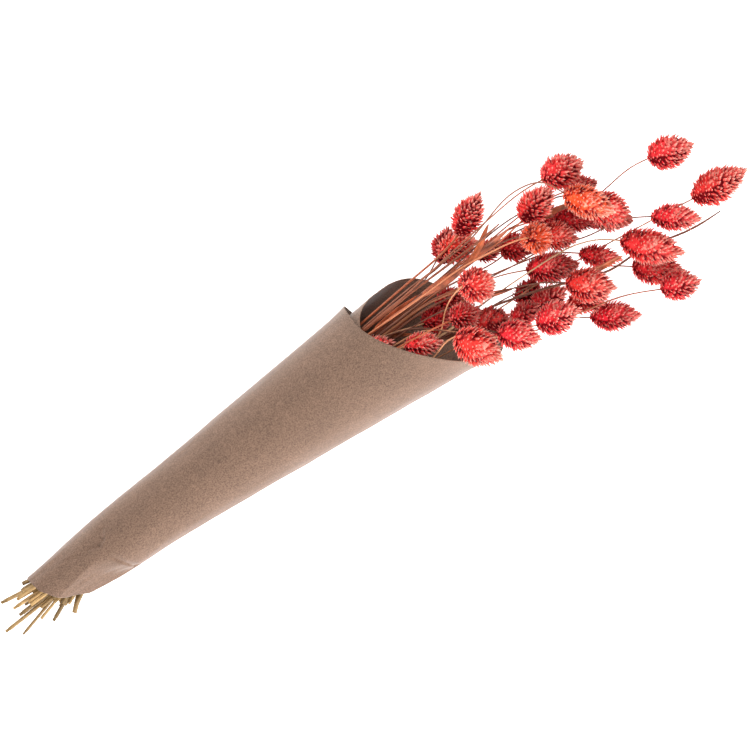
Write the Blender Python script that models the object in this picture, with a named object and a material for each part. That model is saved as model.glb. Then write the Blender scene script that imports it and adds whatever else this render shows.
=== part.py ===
"""Dried canary grass in a rolled kraft paper cone, lying on its side.

Metres, +Z up. +X runs along the bunch towards the heads, and the paper's flattened underside lies on Z = 0.
Every piece of the bunch is laid out in millimetres here and scaled once, when its mesh is made.
"""

import math

import bmesh
import bpy
import numpy as np
from mathutils import Matrix, Vector

MM = 0.001
SEED = 7

# Paper cone: a straight taper, with slanted ends, rolled a bit over one turn.
CONE_RADIUS = 29.0
CONE_TAPER = 0.0875
BULGE = 1.9
BULGE_X = -98.0
BULGE_SPREAD = 42.0
END_SIDE = -1.2
FLAT_DEPTH = 1.2
PAPER_THICKNESS = 0.7
TURN_FROM = 80.0
TURN_TO = 575.0
TUCK = 0.15
MOUTH_X = 175.7
MOUTH_SLANT = 39.9
MOUTH_LEAD = (295.0, 315.0)
LIP_TURN = 500.0
LIP_SWING = 3.4
END_EDGE = (
    (80, 140, 200, 260, 290, 318, 345, 366, 387, 402, 420, 442, 461, 516, 575),
    (-146, -147, -146, -130, -122, -119.4, -121, -125.3, -133.4, -140.4, -145.8, -150, -153.8, -157, -157),
)
SHEET_TURNS = 50
SHEET_LENGTHS = 11

# Stems: hexagonal packing in the tie, where they press into one another.
TIE_X = -100.0
TIE_WIDTH = 5.0
TIE_GAUGE = 1.1
SLOT_PITCH = 1.9
SLOT_REACH = 5
TIE_SIDES = 28
TIE_SLACK = 0.1
STEM_SIDES = 4
BEND_TOLERANCE = 0.95
CUT_RADIUS = 1.2
TIE_RADIUS = 1.4
NECK_RADIUS = 0.65
BLADE_THICKNESS = 0.9
CLEAR = 0.3
ROUTE_POINTS = 40
ROUTE_ROUNDS = 240
ROUTE_STIFFNESS = 0.15
LARGEST_PUSH = 3.0
PAPER_BERTH = 0.7
TABLE_BERTH = 0.3
FAN_MIDDLE_Y = -15.0
FAN_MIDDLE_Z = 45.0

# Heads: scales drawn larger than life, one poked cell each.
HEAD_SEGMENTS = 7
HEAD_RINGS = 8
HEAD_SEAT_RADIUS = 1.3
SCALE_RISE = 1.8
SCALE_LEAN = 1.1
FULL_RISE_RADIUS = 4.0
HEAD_GAP = 0.5
SETTLE_ROUNDS = 400
SETTLE_REACH = 46.0
SETTLE_STEP = 0.6
LEAST_STEP = 0.15
TABLE_GAP = 1.0
STEM_BERTH = 2.4
MOUTH_MARGIN = 13.0
END_MARGIN = 3.0
BODY_STATIONS = ((0.10, 0.52), (0.28, 0.90), (0.48, 1.0), (0.68, 0.86), (0.88, 0.55))

# name, x, y, z, heading, lift, length, width: centre in mm, turn in the plan and upward lean in degrees.
HEADS = (
    ("head_01", 244, 44, 70, 28, 10, 33, 22),
    ("head_02", 221, 37, 10, 46, 0, 27, 21),
    ("head_03", 226, 30, 46, -16, -38, 34, 21),
    ("head_04", 244, 16, 36, -5, 5, 24, 17),
    ("head_05", 220, 0, 84, -35, -45, 29, 25),
    ("head_06", 196, -36, 84, -63, -10, 37, 26),
    ("head_07", 167, -12, 66, -29, 0, 27, 18),
    ("head_08", 202, -12, 64, -14, -30, 25, 20),
    ("head_09", 185, -3, 42, -17, -30, 24, 20),
    ("head_10", 202, 3, 40, -11, 0, 24, 18),
    ("head_11", 216, -27, 52, -22, 40, 27, 22),
    ("head_12", 237, -35, 40, 2, 0, 24, 18),
    ("head_13", 224, -45, 76, -44, -10, 32, 22),
    ("head_14", 249, -25, 34, 37, 20, 25, 21),
    ("head_15", 272, -20, 56, -29, 5, 38, 23),
    ("head_16", 254, -50, 60, -14, 5, 32, 24),
    ("head_17", 258, -37, 44, -1, 0, 29, 22),
    ("head_18", 285, -45, 60, -41, 5, 35, 25),
    ("head_19", 281, -53, 23, -21, 0, 31, 20),
    ("head_20", 304, -33, 40, -44, 0, 31, 17),
    ("head_21", 335, -48, 66, -47, 5, 45, 25),
    ("head_22", 333, -64, 34, -41, 0, 38, 24),
    ("head_23", 337, -81, 56, -23, 5, 29, 22),
    ("head_24", 291, -74, 10.5, -32, 0, 36, 22),
    ("head_25", 384, -1, 60, -18, 0, 33, 25),
    ("head_26", 400, -39, 50, -6, 5, 43, 25),
    ("head_27", 362, -41, 52, -37, 0, 36, 20),
    ("head_28", 315, 2, 88, -55, 0, 37, 23),
    ("head_29", 326, -11, 60, -62, 0, 34, 25),
    ("head_30", 324, -14, 38, -45, 0, 34, 20),
    ("head_31", 314, 31, 76, -10, -20, 33, 25),
    ("head_32", 320, 15, 52, -17, 0, 25, 18),
    ("head_33", 287, 23, 66, 14, 0, 32, 23),
    ("head_34", 272, 3, 80, -35, -60, 25, 22),
    ("head_35", 260, 6, 50, -23, -20, 27, 21),
    ("head_36", 287, -5, 52, -41, 0, 26, 21),
    ("head_37", 305, -2, 50, -41, 0, 32, 20),
    ("head_38", 293, 10, 9.6, -23, 0, 27, 20),
    ("head_39", 140, 5, 62, -18, 0, 24, 17),
)
# Stalks that have lost their head: x, y, z of the bare tip in mm, heading and lift in degrees.
BARE_STALKS = (
    (391, -55, 36, 1, 4),
    (256, 26, 84, 8, 10),
)
# Places that a stem passes on its way, in mm, where it arches clear of the rest.
ARCHES = {
    "head_01": ((160, 27, 60), (190, 30, 65)),
    "head_02": ((160, 24, 50), (192, 27, 22)),
    "head_03": ((160, 23, 60), (192, 22, 63)),
    "head_05": ((166, -13, 48), (181, -14, 61)),
    "head_06": ((164, -24, 64), (178, -18, 81)),
    "head_12": ((203, -29, 36),),
    "head_21": ((286, -14, 69),),
    "head_23": ((294, -62, 48),),
    "head_25": ((352, 7, 56),),
    "head_26": ((360, -34, 42),),
    "head_28": ((170, 25, 70), (234, 28, 80), (271, 39, 97), (294, 36, 101)),
    "bare_1": ((165, 22, 68),),
}
# Most stems lean to the +Y side where they leave the paper, at this x: side and height there, by the necks'.
THROAT_X = 165.0
THROAT_SIDE = (12.0, 0.27)
THROAT_HEIGHT = (34.0, 0.42)
THROAT_REACH = 45.0
# Leaf sheaths clasp the stem of a head over a stretch of x, in mm: head, from, to, radius.
SHEATHS = (
    ("head_07", 106, 146, 2.4),
    ("head_39", 82, 116, 2.2),
    ("head_32", 148, 184, 3.3),
    ("head_33", 187, 217, 3.4),
    ("head_18", 204, 232, 2.2),
    ("head_25", 282, 312, 2.0),
)
# Leaf blades leave a stem at x and reach a tip: head, x, tip x, y, z, half width, all in mm.
BLADES = (
    ("head_22", 280, 315, -41, 60, 2.1),
    ("head_33", 222, 250, 30, 84, 2.4),
    ("head_10", 138, 164, -1, 62, 1.8),
    ("head_35", 204, 262, 20, 66, 2.2),
    ("head_14", 150, 212, -33, 30, 2.0),
)
RESTING_HEADS = ("head_02", "head_24", "head_38")

# Tips of the cut ends that show beyond the narrow end of the paper, in mm.
CUT_TIPS = (
    (-180, 10, 12),
    (-163, 13, 10),
    (-163, 7, 17),
    (-173, 6, 7),
    (-175, 2, 12),
    (-175, -4, 6),
    (-190, -8, 5),
    (-181, -16, 5),
    (-166, -15, 13),
    (-157, -20, 13),
    (-145, -25, 6),
)
# The other straws end a little way past the paper, whose narrow end lies at these x for these y.
SHORT_TIPS_PAST = (2.0, 16.0)
SHORT_TIPS_Y = (-21.0, 12.0)
SHORT_TIPS_Z = (4.0, 18.0)
END_OUTLINE = ((-21.0, -16.0, -10.0, -3.0, 3.0, 13.0), (-126.0, -134.0, -145.0, -150.0, -154.0, -156.0))


def clear_scene():
    for item in list(bpy.data.objects):
        bpy.data.objects.remove(item, do_unlink=True)


def smooth(value, low, high):
    t = min(max((value - low) / (high - low), 0.0), 1.0)
    return t * t * (3.0 - 2.0 * t)


def cone_radius(x):
    return CONE_RADIUS + CONE_TAPER * x + BULGE * math.exp(-(((x - BULGE_X) / BULGE_SPREAD) ** 2))


def cone_height(x):
    return cone_radius(x) - FLAT_DEPTH


def cone_side(x):
    """The narrow end lies a little off the straight line."""
    return END_SIDE * (1.0 - smooth(x, -115.0, -50.0))


def slant(turn, lead):
    """1 at the lead turn, falling to -1 half a turn from it."""
    return math.cos(math.radians(min(max(turn, lead - 180.0), lead + 180.0) - lead))


def mouth_x(turn):
    lead = MOUTH_LEAD[0] + (MOUTH_LEAD[1] - MOUTH_LEAD[0]) * smooth(turn, 200.0, 340.0)
    swing = LIP_SWING * (max(turn - LIP_TURN, 0.0) / (TURN_TO - LIP_TURN)) ** 2
    return MOUTH_X + MOUTH_SLANT * slant(turn, lead) + swing


def end_x(turn):
    """The narrow end's cut, where the inner turn of the sheet stops short of the outer one."""
    return float(np.interp(turn, *END_EDGE))


def tuck(turn):
    """Share by which the inner turn of the sheet lies inside the outer one."""
    return TUCK * (1.0 - smooth(turn, 180.0, 250.0))


def paper_point(x, turn):
    """Outside of the sheet: turn 0 is the -Y side, 90 the top, 270 the underside."""
    radius = cone_radius(x) * (1.0 - tuck(turn))
    angle = math.radians(turn)
    side = cone_side(x) - radius * math.cos(angle)
    return Vector((x, side, max(cone_height(x) + radius * math.sin(angle), 0.0)))


def direction_of(heading, lift):
    h, v = math.radians(heading), math.radians(lift)
    return Vector((math.cos(h) * math.cos(v), math.sin(h) * math.cos(v), math.sin(v)))


def material(name, colour, roughness):
    mat = bpy.data.materials.new(name)
    mat.use_nodes = True
    shader = mat.node_tree.nodes["Principled BSDF"]
    shader.inputs["Base Color"].default_value = (*colour, 1.0)
    shader.inputs["Roughness"].default_value = roughness
    return mat


def add_object(name, bm, mat):
    """Turns the bmesh, in mm, into an object in metres."""
    bmesh.ops.scale(bm, vec=(MM, MM, MM), verts=bm.verts)
    mesh = bpy.data.meshes.new(name)
    bm.to_mesh(mesh)
    bm.free()
    mesh.materials.append(mat)
    obj = bpy.data.objects.new(name, mesh)
    bpy.context.collection.objects.link(obj)
    return obj


def make_paper(mat):
    bm = bmesh.new()
    grid = []
    for i in range(SHEET_TURNS + 1):
        turn = TURN_FROM + (TURN_TO - TURN_FROM) * i / SHEET_TURNS
        row = []
        for j in range(SHEET_LENGTHS + 1):
            x = end_x(turn) + (mouth_x(turn) - end_x(turn)) * j / SHEET_LENGTHS
            row.append(bm.verts.new(paper_point(x, turn)))
        grid.append(row)
    for one, two in zip(grid, grid[1:]):
        for j in range(SHEET_LENGTHS):
            bm.faces.new((one[j], one[j + 1], two[j + 1], two[j]))
    paper = add_object("paper_wrap", bm, mat)
    skin = paper.modifiers.new("paper thickness", "SOLIDIFY")
    skin.thickness = PAPER_THICKNESS * MM
    skin.offset = -1.0
    skin.use_even_offset = True
    return paper


def body_spheres(head, centre_z):
    """Centres and radii of a chain of balls that fills a head, for keeping other pieces clear of it."""
    _, x, y, _, heading, lift, length, width = head
    aim = direction_of(heading, lift)
    centre = Vector((x, y, centre_z))
    places = [centre + aim * ((t - 0.5) * length) for t, _ in BODY_STATIONS]
    return np.array(places), np.array([f * width / 2 for _, f in BODY_STATIONS])


def settle_heads():
    """Height of each head once no two touch: a pair that does is parted in height. The resting ones stay put."""
    heights = {head[0]: float(head[3]) for head in HEADS}
    for _ in range(SETTLE_ROUNDS):
        moved = False
        for i, one in enumerate(HEADS):
            p1, r1 = body_spheres(one, heights[one[0]])
            for two in HEADS[i + 1:]:
                if (one[1] - two[1]) ** 2 + (one[2] - two[2]) ** 2 > SETTLE_REACH ** 2:
                    continue
                p2, r2 = body_spheres(two, heights[two[0]])
                gap = np.linalg.norm(p1[:, None] - p2[None], axis=2) - r1[:, None] - r2[None]
                short = HEAD_GAP - gap.min()
                if short <= 0.0:
                    continue
                up = 1.0 if heights[one[0]] >= heights[two[0]] else -1.0
                step = max(SETTLE_STEP * short, LEAST_STEP)
                if one[0] not in RESTING_HEADS:
                    heights[one[0]] += up * step
                if two[0] not in RESTING_HEADS:
                    heights[two[0]] -= up * step
                moved = True
        for head in HEADS:
            lean = abs(math.sin(math.radians(head[5]))) * head[6] / 2
            floor = head[7] / 2 + 0.7 * lean
            if head[0] not in RESTING_HEADS:
                heights[head[0]] = max(heights[head[0]], floor + TABLE_GAP)
        if not moved:
            break
    return heights


def head_radius(t, width):
    """Half width of a head without its scales, at t from the stem end to the tip."""
    full = (width / 2 - SCALE_RISE) / math.cos(math.pi / HEAD_SEGMENTS)
    return full * max(math.sin(math.pi * min(t, 1.0) ** 0.82), 0.0) ** 0.62


def make_head(head, height, mat):
    """An egg of pointed scales: a sphere's rings reshaped and twisted, then every cell poked forward."""
    name, x, y, _, heading, lift, length, width = head
    bm = bmesh.new()
    bmesh.ops.create_uvsphere(bm, u_segments=HEAD_SEGMENTS, v_segments=HEAD_RINGS, radius=1.0)
    for vert in bm.verts:
        polar = math.acos(max(-1.0, min(1.0, -vert.co.z)))
        ring = round(polar / math.pi * HEAD_RINGS)
        angle = math.atan2(vert.co.y, vert.co.x) + ring * math.pi / HEAD_SEGMENTS
        if ring == 0:
            t, radius = 0.0, 0.0
        elif ring == 1:
            t, radius = 0.0, HEAD_SEAT_RADIUS
        elif ring == HEAD_RINGS:
            t, radius = 1.0, 0.0
        else:
            t = (ring - 1) / (HEAD_RINGS - 1)
            radius = head_radius(t, width)
        along = (t - 0.5) * (length - SCALE_RISE)
        vert.co = Vector((radius * math.cos(angle), radius * math.sin(angle), along))
    seat = -0.5 * (length - SCALE_RISE)
    cells = [f for f in bm.faces if any(v.co.z > seat + 0.01 for v in f.verts)]
    poked = bmesh.ops.poke(bm, faces=cells, offset=0.0, center_mode="MEAN")
    for apex in poked["verts"]:
        out = Vector((apex.co.x, apex.co.y, 0.0))
        rise = SCALE_RISE * min(1.0, out.length / FULL_RISE_RADIUS)
        apex.co += out.normalized() * rise + Vector((0.0, 0.0, SCALE_LEAN))
    bmesh.ops.triangulate(bm, faces=bm.faces)
    bmesh.ops.recalc_face_normals(bm, faces=bm.faces)
    aim = direction_of(heading, lift)
    turn = Vector((0.0, 0.0, 1.0)).rotation_difference(aim).to_matrix().to_4x4()
    bm.transform(Matrix.Translation((x, y, height)) @ turn)
    return add_object(name, bm, mat)


def tie_slots(count):
    """Places of the stems in the tie, packed from the middle outward, as (y, z) from the tie's centre."""
    found = []
    for row in range(-SLOT_REACH, SLOT_REACH + 1):
        for column in range(-SLOT_REACH, SLOT_REACH + 1):
            y = (column + 0.5 * (row % 2)) * SLOT_PITCH
            z = row * SLOT_PITCH * math.sqrt(3) / 2
            found.append((round(math.hypot(y, z), 4), round(math.atan2(z, y), 4), y, z))
    found.sort()
    return [(y, z) for _, _, y, z in found[:count]]


def tie_centre_height(slots):
    """Radius of the packed stems, and the height of their middle with the tie just clear of the paper."""
    outer = max(math.hypot(y, z) for y, z in slots) + TIE_RADIUS
    return outer, PAPER_THICKNESS + CLEAR + TIE_GAUGE + CLEAR + outer + TIE_SLACK


def paper_limit(x, y, z, margin):
    """How far out from the cone's middle a stem may lie, or None beyond the paper's ends."""
    turn = math.degrees(math.atan2(z - cone_height(x), cone_side(x) - y)) % 360.0
    sheets = [t for t in (turn, turn + 360.0) if TURN_FROM - 14.0 <= t <= TURN_TO]
    held = [t for t in sheets if end_x(t) - margin < x < mouth_x(t) + margin]
    if not held:
        return None
    return min(cone_radius(x) * (1.0 - tuck(t)) for t in held) - PAPER_THICKNESS


def bezier(a, b, c, d, count):
    t = np.linspace(0.0, 1.0, count)[:, None]
    a, b, c, d = (np.array(p, float) for p in (a, b, c, d))
    return a * (1 - t) ** 3 + 3 * b * t * (1 - t) ** 2 + 3 * c * t * t * (1 - t) + d * t ** 3


def smooth_way(nodes, first, last, count):
    """A smooth curve through the nodes that leaves and arrives in the given directions."""
    nodes = [np.array(node, float) for node in nodes]
    slopes = [np.array(first, float)]
    for before, after in zip(nodes, nodes[2:]):
        slopes.append((after - before) / np.linalg.norm(after - before))
    slopes.append(np.array(last, float))
    spans = [np.linalg.norm(b - a) for a, b in zip(nodes, nodes[1:])]
    way = []
    for n, span in enumerate(spans):
        share = max(3, round(count * span / sum(spans)))
        handle = 0.36 * span
        one, two = nodes[n] + slopes[n] * handle, nodes[n + 1] - slopes[n + 1] * handle
        piece = bezier(nodes[n], one, two, nodes[n + 1], share + 1)
        way.append(piece if n == 0 else piece[1:])
    return np.concatenate(way)


def ease_clear(path, radius, balls, own, margin, pins=()):
    """Smooths a stem's way while it is pushed off the paper, the table and every head, its ends held."""
    held = {int(np.linalg.norm(path - np.array(pin, float), axis=1).argmin()): pin for pin in pins}
    centres, radii, names = balls
    berth = radii + radius + STEM_BERTH
    berth[names == own] -= 1.0
    for _ in range(ROUTE_ROUNDS):
        smoothed = 0.25 * path[1:-4] + 0.5 * path[2:-3] + 0.25 * path[3:-2]
        middle = path[2:-3] + ROUTE_STIFFNESS * (smoothed - path[2:-3])
        away = middle[:, None] - centres[None]
        far = np.linalg.norm(away, axis=2)
        short = berth[None] - far
        worst = short.argmax(axis=1)
        rows = np.arange(len(middle))
        push = away[rows, worst] / np.maximum(far[rows, worst], 0.001)[:, None]
        push[:, 0] *= 0.2
        middle += push * np.clip(short[rows, worst], 0.0, LARGEST_PUSH)[:, None]
        for k, point in enumerate(middle):
            middle[k] = inside_paper(*point, radius, margin)
        path[2:-3] = middle
        for k, pin in held.items():
            path[k] = pin
    return path


def inside_paper(x, y, z, radius, margin):
    """The nearest place across the bunch where a stem clears the paper, or past its ends the table."""
    limit = paper_limit(x, y, z, margin)
    if limit is None:
        return x, y, max(z, radius + TABLE_BERTH)
    z = max(z, PAPER_THICKNESS + radius + TABLE_BERTH)
    side, rise = y - cone_side(x), z - cone_height(x)
    room = min(1.0, (limit - radius - PAPER_BERTH) / math.hypot(side, rise))
    return x, cone_side(x) + side * room, cone_height(x) + rise * room


def route(slot, centre_z, neck, aim, radius, balls, own):
    """A stem's way from the tie to its head's neck, by way of its arch or, past the mouth, of the throat."""
    start = Vector((TIE_X + TIE_WIDTH / 2 + 1.0, slot[0], centre_z + slot[1]))
    pins = ARCHES.get(own, ())
    if pins:
        path = smooth_way([start, *pins, neck], (1.0, 0.0, 0.0), aim, ROUTE_POINTS)
    elif neck.x > THROAT_X + THROAT_REACH:
        side = THROAT_SIDE[0] + THROAT_SIDE[1] * neck.y
        height = THROAT_HEIGHT[0] + THROAT_HEIGHT[1] * neck.z
        path = smooth_way([start, (THROAT_X, side, height), neck], (1.0, 0.0, 0.0), aim, ROUTE_POINTS)
    else:
        reach = (neck - start).length
        ease = min(max(0.28 * reach, 20.0), 62.0)
        path = bezier(start, start + Vector((0.42 * reach, 0.0, 0.0)), neck - aim * ease, neck, ROUTE_POINTS)
    return ease_clear(path, radius, balls, own, MOUTH_MARGIN, pins)


def tail_route(slot, centre_z, tip, radius, balls):
    """A stem's way from its cut end to the tie."""
    near = Vector((TIE_X - TIE_WIDTH / 2 - 1.0, slot[0], centre_z + slot[1]))
    path = bezier(near, near - Vector((14.0, 0.0, 0.0)), tip.lerp(near, 0.4), tip, ROUTE_POINTS)
    return ease_clear(path, radius, balls, "", END_MARGIN)[::-1]


def key_points(path, first, last):
    """The places along a way that its bends need, so that no straight run strays past the tolerance."""
    run = path[last] - path[first]
    between = path[first + 1:last] - path[first]
    if not len(between):
        return [first, last]
    off = np.linalg.norm(np.cross(between, run), axis=1) / np.linalg.norm(run)
    if off.max() < BEND_TOLERANCE:
        return [first, last]
    bend = first + 1 + int(off.argmax())
    return key_points(path, first, bend)[:-1] + key_points(path, bend, last)


def tube(points, radii, sides, thickness=None):
    """A closed stem round the points: rings square to the path, flattened to a thickness if one is given."""
    bm = bmesh.new()
    rings = []
    for k, point in enumerate(points):
        ahead = points[min(k + 1, len(points) - 1)] - points[max(k - 1, 0)]
        frame = Vector((0.0, 0.0, 1.0)).cross(ahead).normalized()
        up = ahead.cross(frame).normalized()
        ring = []
        for s in range(sides):
            angle = math.tau * s / sides
            wide = frame * math.cos(angle) * radii[k]
            ring.append(bm.verts.new(point + wide + up * math.sin(angle) * (thickness or radii[k])))
        rings.append(ring)
    for one, two in zip(rings, rings[1:]):
        for s in range(sides):
            bm.faces.new((one[s], one[(s + 1) % sides], two[(s + 1) % sides], two[s]))
    bm.faces.new(list(reversed(rings[0])))
    bm.faces.new(rings[-1])
    bmesh.ops.recalc_face_normals(bm, faces=bm.faces)
    return bm


def sheathed(head_name, x, radius):
    """Radius of a stem at x, with the sheath that clasps it there."""
    for name, start, stop, sheath_radius in SHEATHS:
        if name == head_name and start <= x <= stop:
            return max(radius, sheath_radius * math.sin(math.pi * (x - start) / (stop - start)) ** 0.5)
    return radius


def sheath_points(head_name, path):
    """The places along a stem that its sheath's shape needs."""
    found = []
    for name, start, stop, _ in SHEATHS:
        if name == head_name:
            for part in (0.0, 0.12, 0.5, 0.9, 1.0):
                found.append(int(np.abs(path[:, 0] - (start + (stop - start) * part)).argmin()))
    return found


def blade_line(blade, path, balls):
    """A leaf blade's middle line, from inside its stem to the tip."""
    _, x, tip_x, tip_y, tip_z, _ = blade
    first = int(np.abs(path[:, 0] - x).argmin())
    root = Vector(path[first])
    ahead = (Vector(path[first + 1]) - root).normalized()
    tip = Vector((tip_x, tip_y, tip_z))
    reach = (tip - root).length
    line = bezier(root, root + ahead * 0.4 * reach, root.lerp(tip, 0.7) + Vector((0.0, 0.0, 3.0)), tip, 16)
    return ease_clear(line, 1.0, balls, "", MOUTH_MARGIN)


def blade_body(line, half_width):
    """A blade as a long flat lens, widest near its middle."""
    share = np.linspace(0.0, 1.0, len(line))
    widths = [half_width * max(math.sin(math.pi * min(0.08 + 0.88 * t, 1.0)) ** 0.6, 0.2) for t in share]
    picks = list(range(0, len(line), 3))
    return tube([Vector(line[k]) for k in picks], [widths[k] for k in picks], 4, BLADE_THICKNESS / 2)


def cut_tips(count, rng):
    tips = [Vector(tip) for tip in CUT_TIPS]
    while len(tips) < count:
        y = rng.uniform(*SHORT_TIPS_Y)
        x = np.interp(y, *END_OUTLINE) - rng.uniform(*SHORT_TIPS_PAST)
        tips.append(Vector((x, y, rng.uniform(*SHORT_TIPS_Z))))
    return tips[:count]


def match_slots(slots, necks):
    """Gives each neck the slot that lies its way, so that the stems fan out with few crossings."""
    angles = [math.atan2(neck.z - FAN_MIDDLE_Z, neck.y - FAN_MIDDLE_Y) for neck in necks]
    order = sorted(range(len(necks)), key=lambda i: angles[i])
    by_angle = sorted(range(len(slots)), key=lambda i: math.atan2(slots[i][1], slots[i][0]))
    chosen = [None] * len(necks)
    for neck, slot in zip(order, by_angle):
        chosen[neck] = slots[slot]
    return chosen


def match_tips(slots, tips):
    """Gives each slot a cut tip on the same side."""
    left = list(tips)
    chosen = []
    for y, z in slots:
        best = min(left, key=lambda tip: abs(tip.y / 2.2 - y) + 0.4 * abs((tip.z - 10.0) / 1.2 - z))
        left.remove(best)
        chosen.append(best)
    return chosen


def stem_lines(heights, rng):
    """Name, tail, way, tie slot and blades of every stem."""
    ends = []
    for name, x, y, _, heading, lift, length, _ in HEADS:
        aim = direction_of(heading, lift)
        neck = Vector((x, y, heights[name])) - aim * (0.5 * (length - SCALE_RISE) + CLEAR)
        ends.append((name, neck, aim))
    for n, (x, y, z, heading, lift) in enumerate(BARE_STALKS):
        ends.append((f"bare_{n}", Vector((x, y, z)), direction_of(heading, lift)))
    slots = tie_slots(len(ends))
    outer, centre_z = tie_centre_height(slots)
    slots = match_slots(slots, [neck for _, neck, _ in ends])
    tips = match_tips(slots, cut_tips(len(slots), rng))
    chains = [body_spheres(head, heights[head[0]]) for head in HEADS]
    centres = np.concatenate([c for c, _ in chains])
    radii = np.concatenate([r for _, r in chains])
    names = np.repeat([head[0] for head in HEADS], len(BODY_STATIONS))
    balls = (centres, radii, names)
    lines = []
    for (name, neck, aim), slot, tip in zip(ends, slots, tips):
        path = route(slot, centre_z, neck, aim, TIE_RADIUS, balls, name)
        tail = tail_route(slot, centre_z, tip, CUT_RADIUS, balls)
        blades = [(blade_line(blade, path, balls), blade[-1]) for blade in BLADES if blade[0] == name]
        lines.append((name, tail, path, blades))
    return lines, outer, centre_z


def stem_body(name, tail, path):
    """One stem from its cut end, through the tie, to its neck."""
    picks = key_points(path, 0, len(path) - 1)
    picks = sorted(set(picks + sheath_points(name, path)))
    tail_picks = key_points(tail, 0, len(tail) - 1)
    points = [Vector(tail[k]) for k in tail_picks] + [Vector(path[k]) for k in picks]
    radii = [CUT_RADIUS] * (len(tail_picks) - 1) + [TIE_RADIUS]
    for k in picks:
        bare = TIE_RADIUS + (NECK_RADIUS - TIE_RADIUS) * min(1.0, 1.2 * k / len(path))
        radii.append(sheathed(name, path[k][0], bare))
    return tube(points, radii, STEM_SIDES)


def islands(bm):
    """The faces of each piece of surface that hangs together."""
    left = set(bm.faces)
    found = []
    while left:
        stack = [left.pop()]
        piece = list(stack)
        while stack:
            for edge in stack.pop().edges:
                for face in edge.link_faces:
                    if face in left:
                        left.remove(face)
                        stack.append(face)
                        piece.append(face)
        found.append(piece)
    return found


def inside_volume(faces):
    """Volume that the faces close off, below zero for a pocket."""
    total = 0.0
    for face in faces:
        first, *rest = (v.co for v in face.verts)
        for two, three in zip(rest, rest[1:]):
            total += first.dot(two.cross(three)) / 6.0
    return total


def fill_pockets(mesh):
    """Removes the sealed pockets that the pressed stems shut between them."""
    bm = bmesh.new()
    bm.from_mesh(mesh)
    pockets = [faces for faces in islands(bm) if inside_volume(faces) < 0.0]
    bmesh.ops.delete(bm, geom=[face for faces in pockets for face in faces], context="FACES")
    bm.to_mesh(mesh)
    bm.free()


def make_stems(lines, mat):
    """All the stems and their blades, pressed into one body where they pass the tie."""
    keep = bpy.data.collections.new("stem pieces")
    bpy.context.scene.collection.children.link(keep)
    bodies = []
    for name, tail, path, blades in lines:
        bodies.append(stem_body(name, tail, path))
        bodies += [blade_body(line, half_width) for line, half_width in blades]
    pieces = []
    for n, bm in enumerate(bodies):
        piece = add_object(f"stem_piece_{n:02d}", bm, mat)
        bpy.context.collection.objects.unlink(piece)
        keep.objects.link(piece)
        pieces.append(piece)
    first = pieces[0]
    keep.objects.unlink(first)
    bpy.context.collection.objects.link(first)
    union = first.modifiers.new("press together", "BOOLEAN")
    union.operation = "UNION"
    union.operand_type = "COLLECTION"
    union.collection = keep
    union.solver = "MANIFOLD"
    graph = bpy.context.evaluated_depsgraph_get()
    mesh = bpy.data.meshes.new_from_object(first.evaluated_get(graph))
    for piece in pieces:
        bpy.data.objects.remove(piece, do_unlink=True)
    bpy.data.collections.remove(keep)
    mesh.name = "stems"
    fill_pockets(mesh)
    mesh.materials.clear()
    mesh.materials.append(mat)
    stems = bpy.data.objects.new("stems", mesh)
    bpy.context.collection.objects.link(stems)
    return stems


def make_tie(outer, centre_z, mat):
    """The tie: a flat band round the packed stems, hidden in the paper."""
    bm = bmesh.new()
    inner = outer + CLEAR
    loops = []
    for x, radius in (
        (-TIE_WIDTH / 2, inner),
        (-TIE_WIDTH / 2, inner + TIE_GAUGE),
        (TIE_WIDTH / 2, inner + TIE_GAUGE),
        (TIE_WIDTH / 2, inner),
    ):
        ring = []
        for s in range(TIE_SIDES):
            angle = math.tau * s / TIE_SIDES
            place = (TIE_X + x, radius * math.cos(angle), centre_z + radius * math.sin(angle))
            ring.append(bm.verts.new(place))
        loops.append(ring)
    for one, two in zip(loops, loops[1:] + loops[:1]):
        for s in range(TIE_SIDES):
            bm.faces.new((one[s], one[(s + 1) % TIE_SIDES], two[(s + 1) % TIE_SIDES], two[s]))
    bmesh.ops.recalc_face_normals(bm, faces=bm.faces)
    return add_object("tie", bm, mat)


def build():
    clear_scene()
    rng = np.random.default_rng(SEED)
    kraft = material("kraft_paper", (0.42, 0.27, 0.19), 0.85)
    straw = material("dry_stem", (0.30, 0.13, 0.06), 0.7)
    coral = material("dyed_head", (0.62, 0.10, 0.07), 0.8)
    band = material("tie_band", (0.45, 0.36, 0.22), 0.6)
    heights = settle_heads()
    make_paper(kraft)
    for head in HEADS:
        make_head(head, heights[head[0]], coral)
    lines, outer, centre_z = stem_lines(heights, rng)
    make_stems(lines, straw)
    make_tie(outer, centre_z, band)


build()
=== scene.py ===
"""Dried canary grass in a rolled kraft paper cone: dyed heads, dry stems and cut ends, lying on its side.

The pieces are laid out in millimetres, with +X along the bunch towards the heads, and scaled once to metres.
"""

import math

import bmesh
import bpy
import numpy as np
from bpy.props import FloatProperty, FloatVectorProperty, IntProperty, PointerProperty
from mathutils import Matrix, Vector, noise


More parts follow.
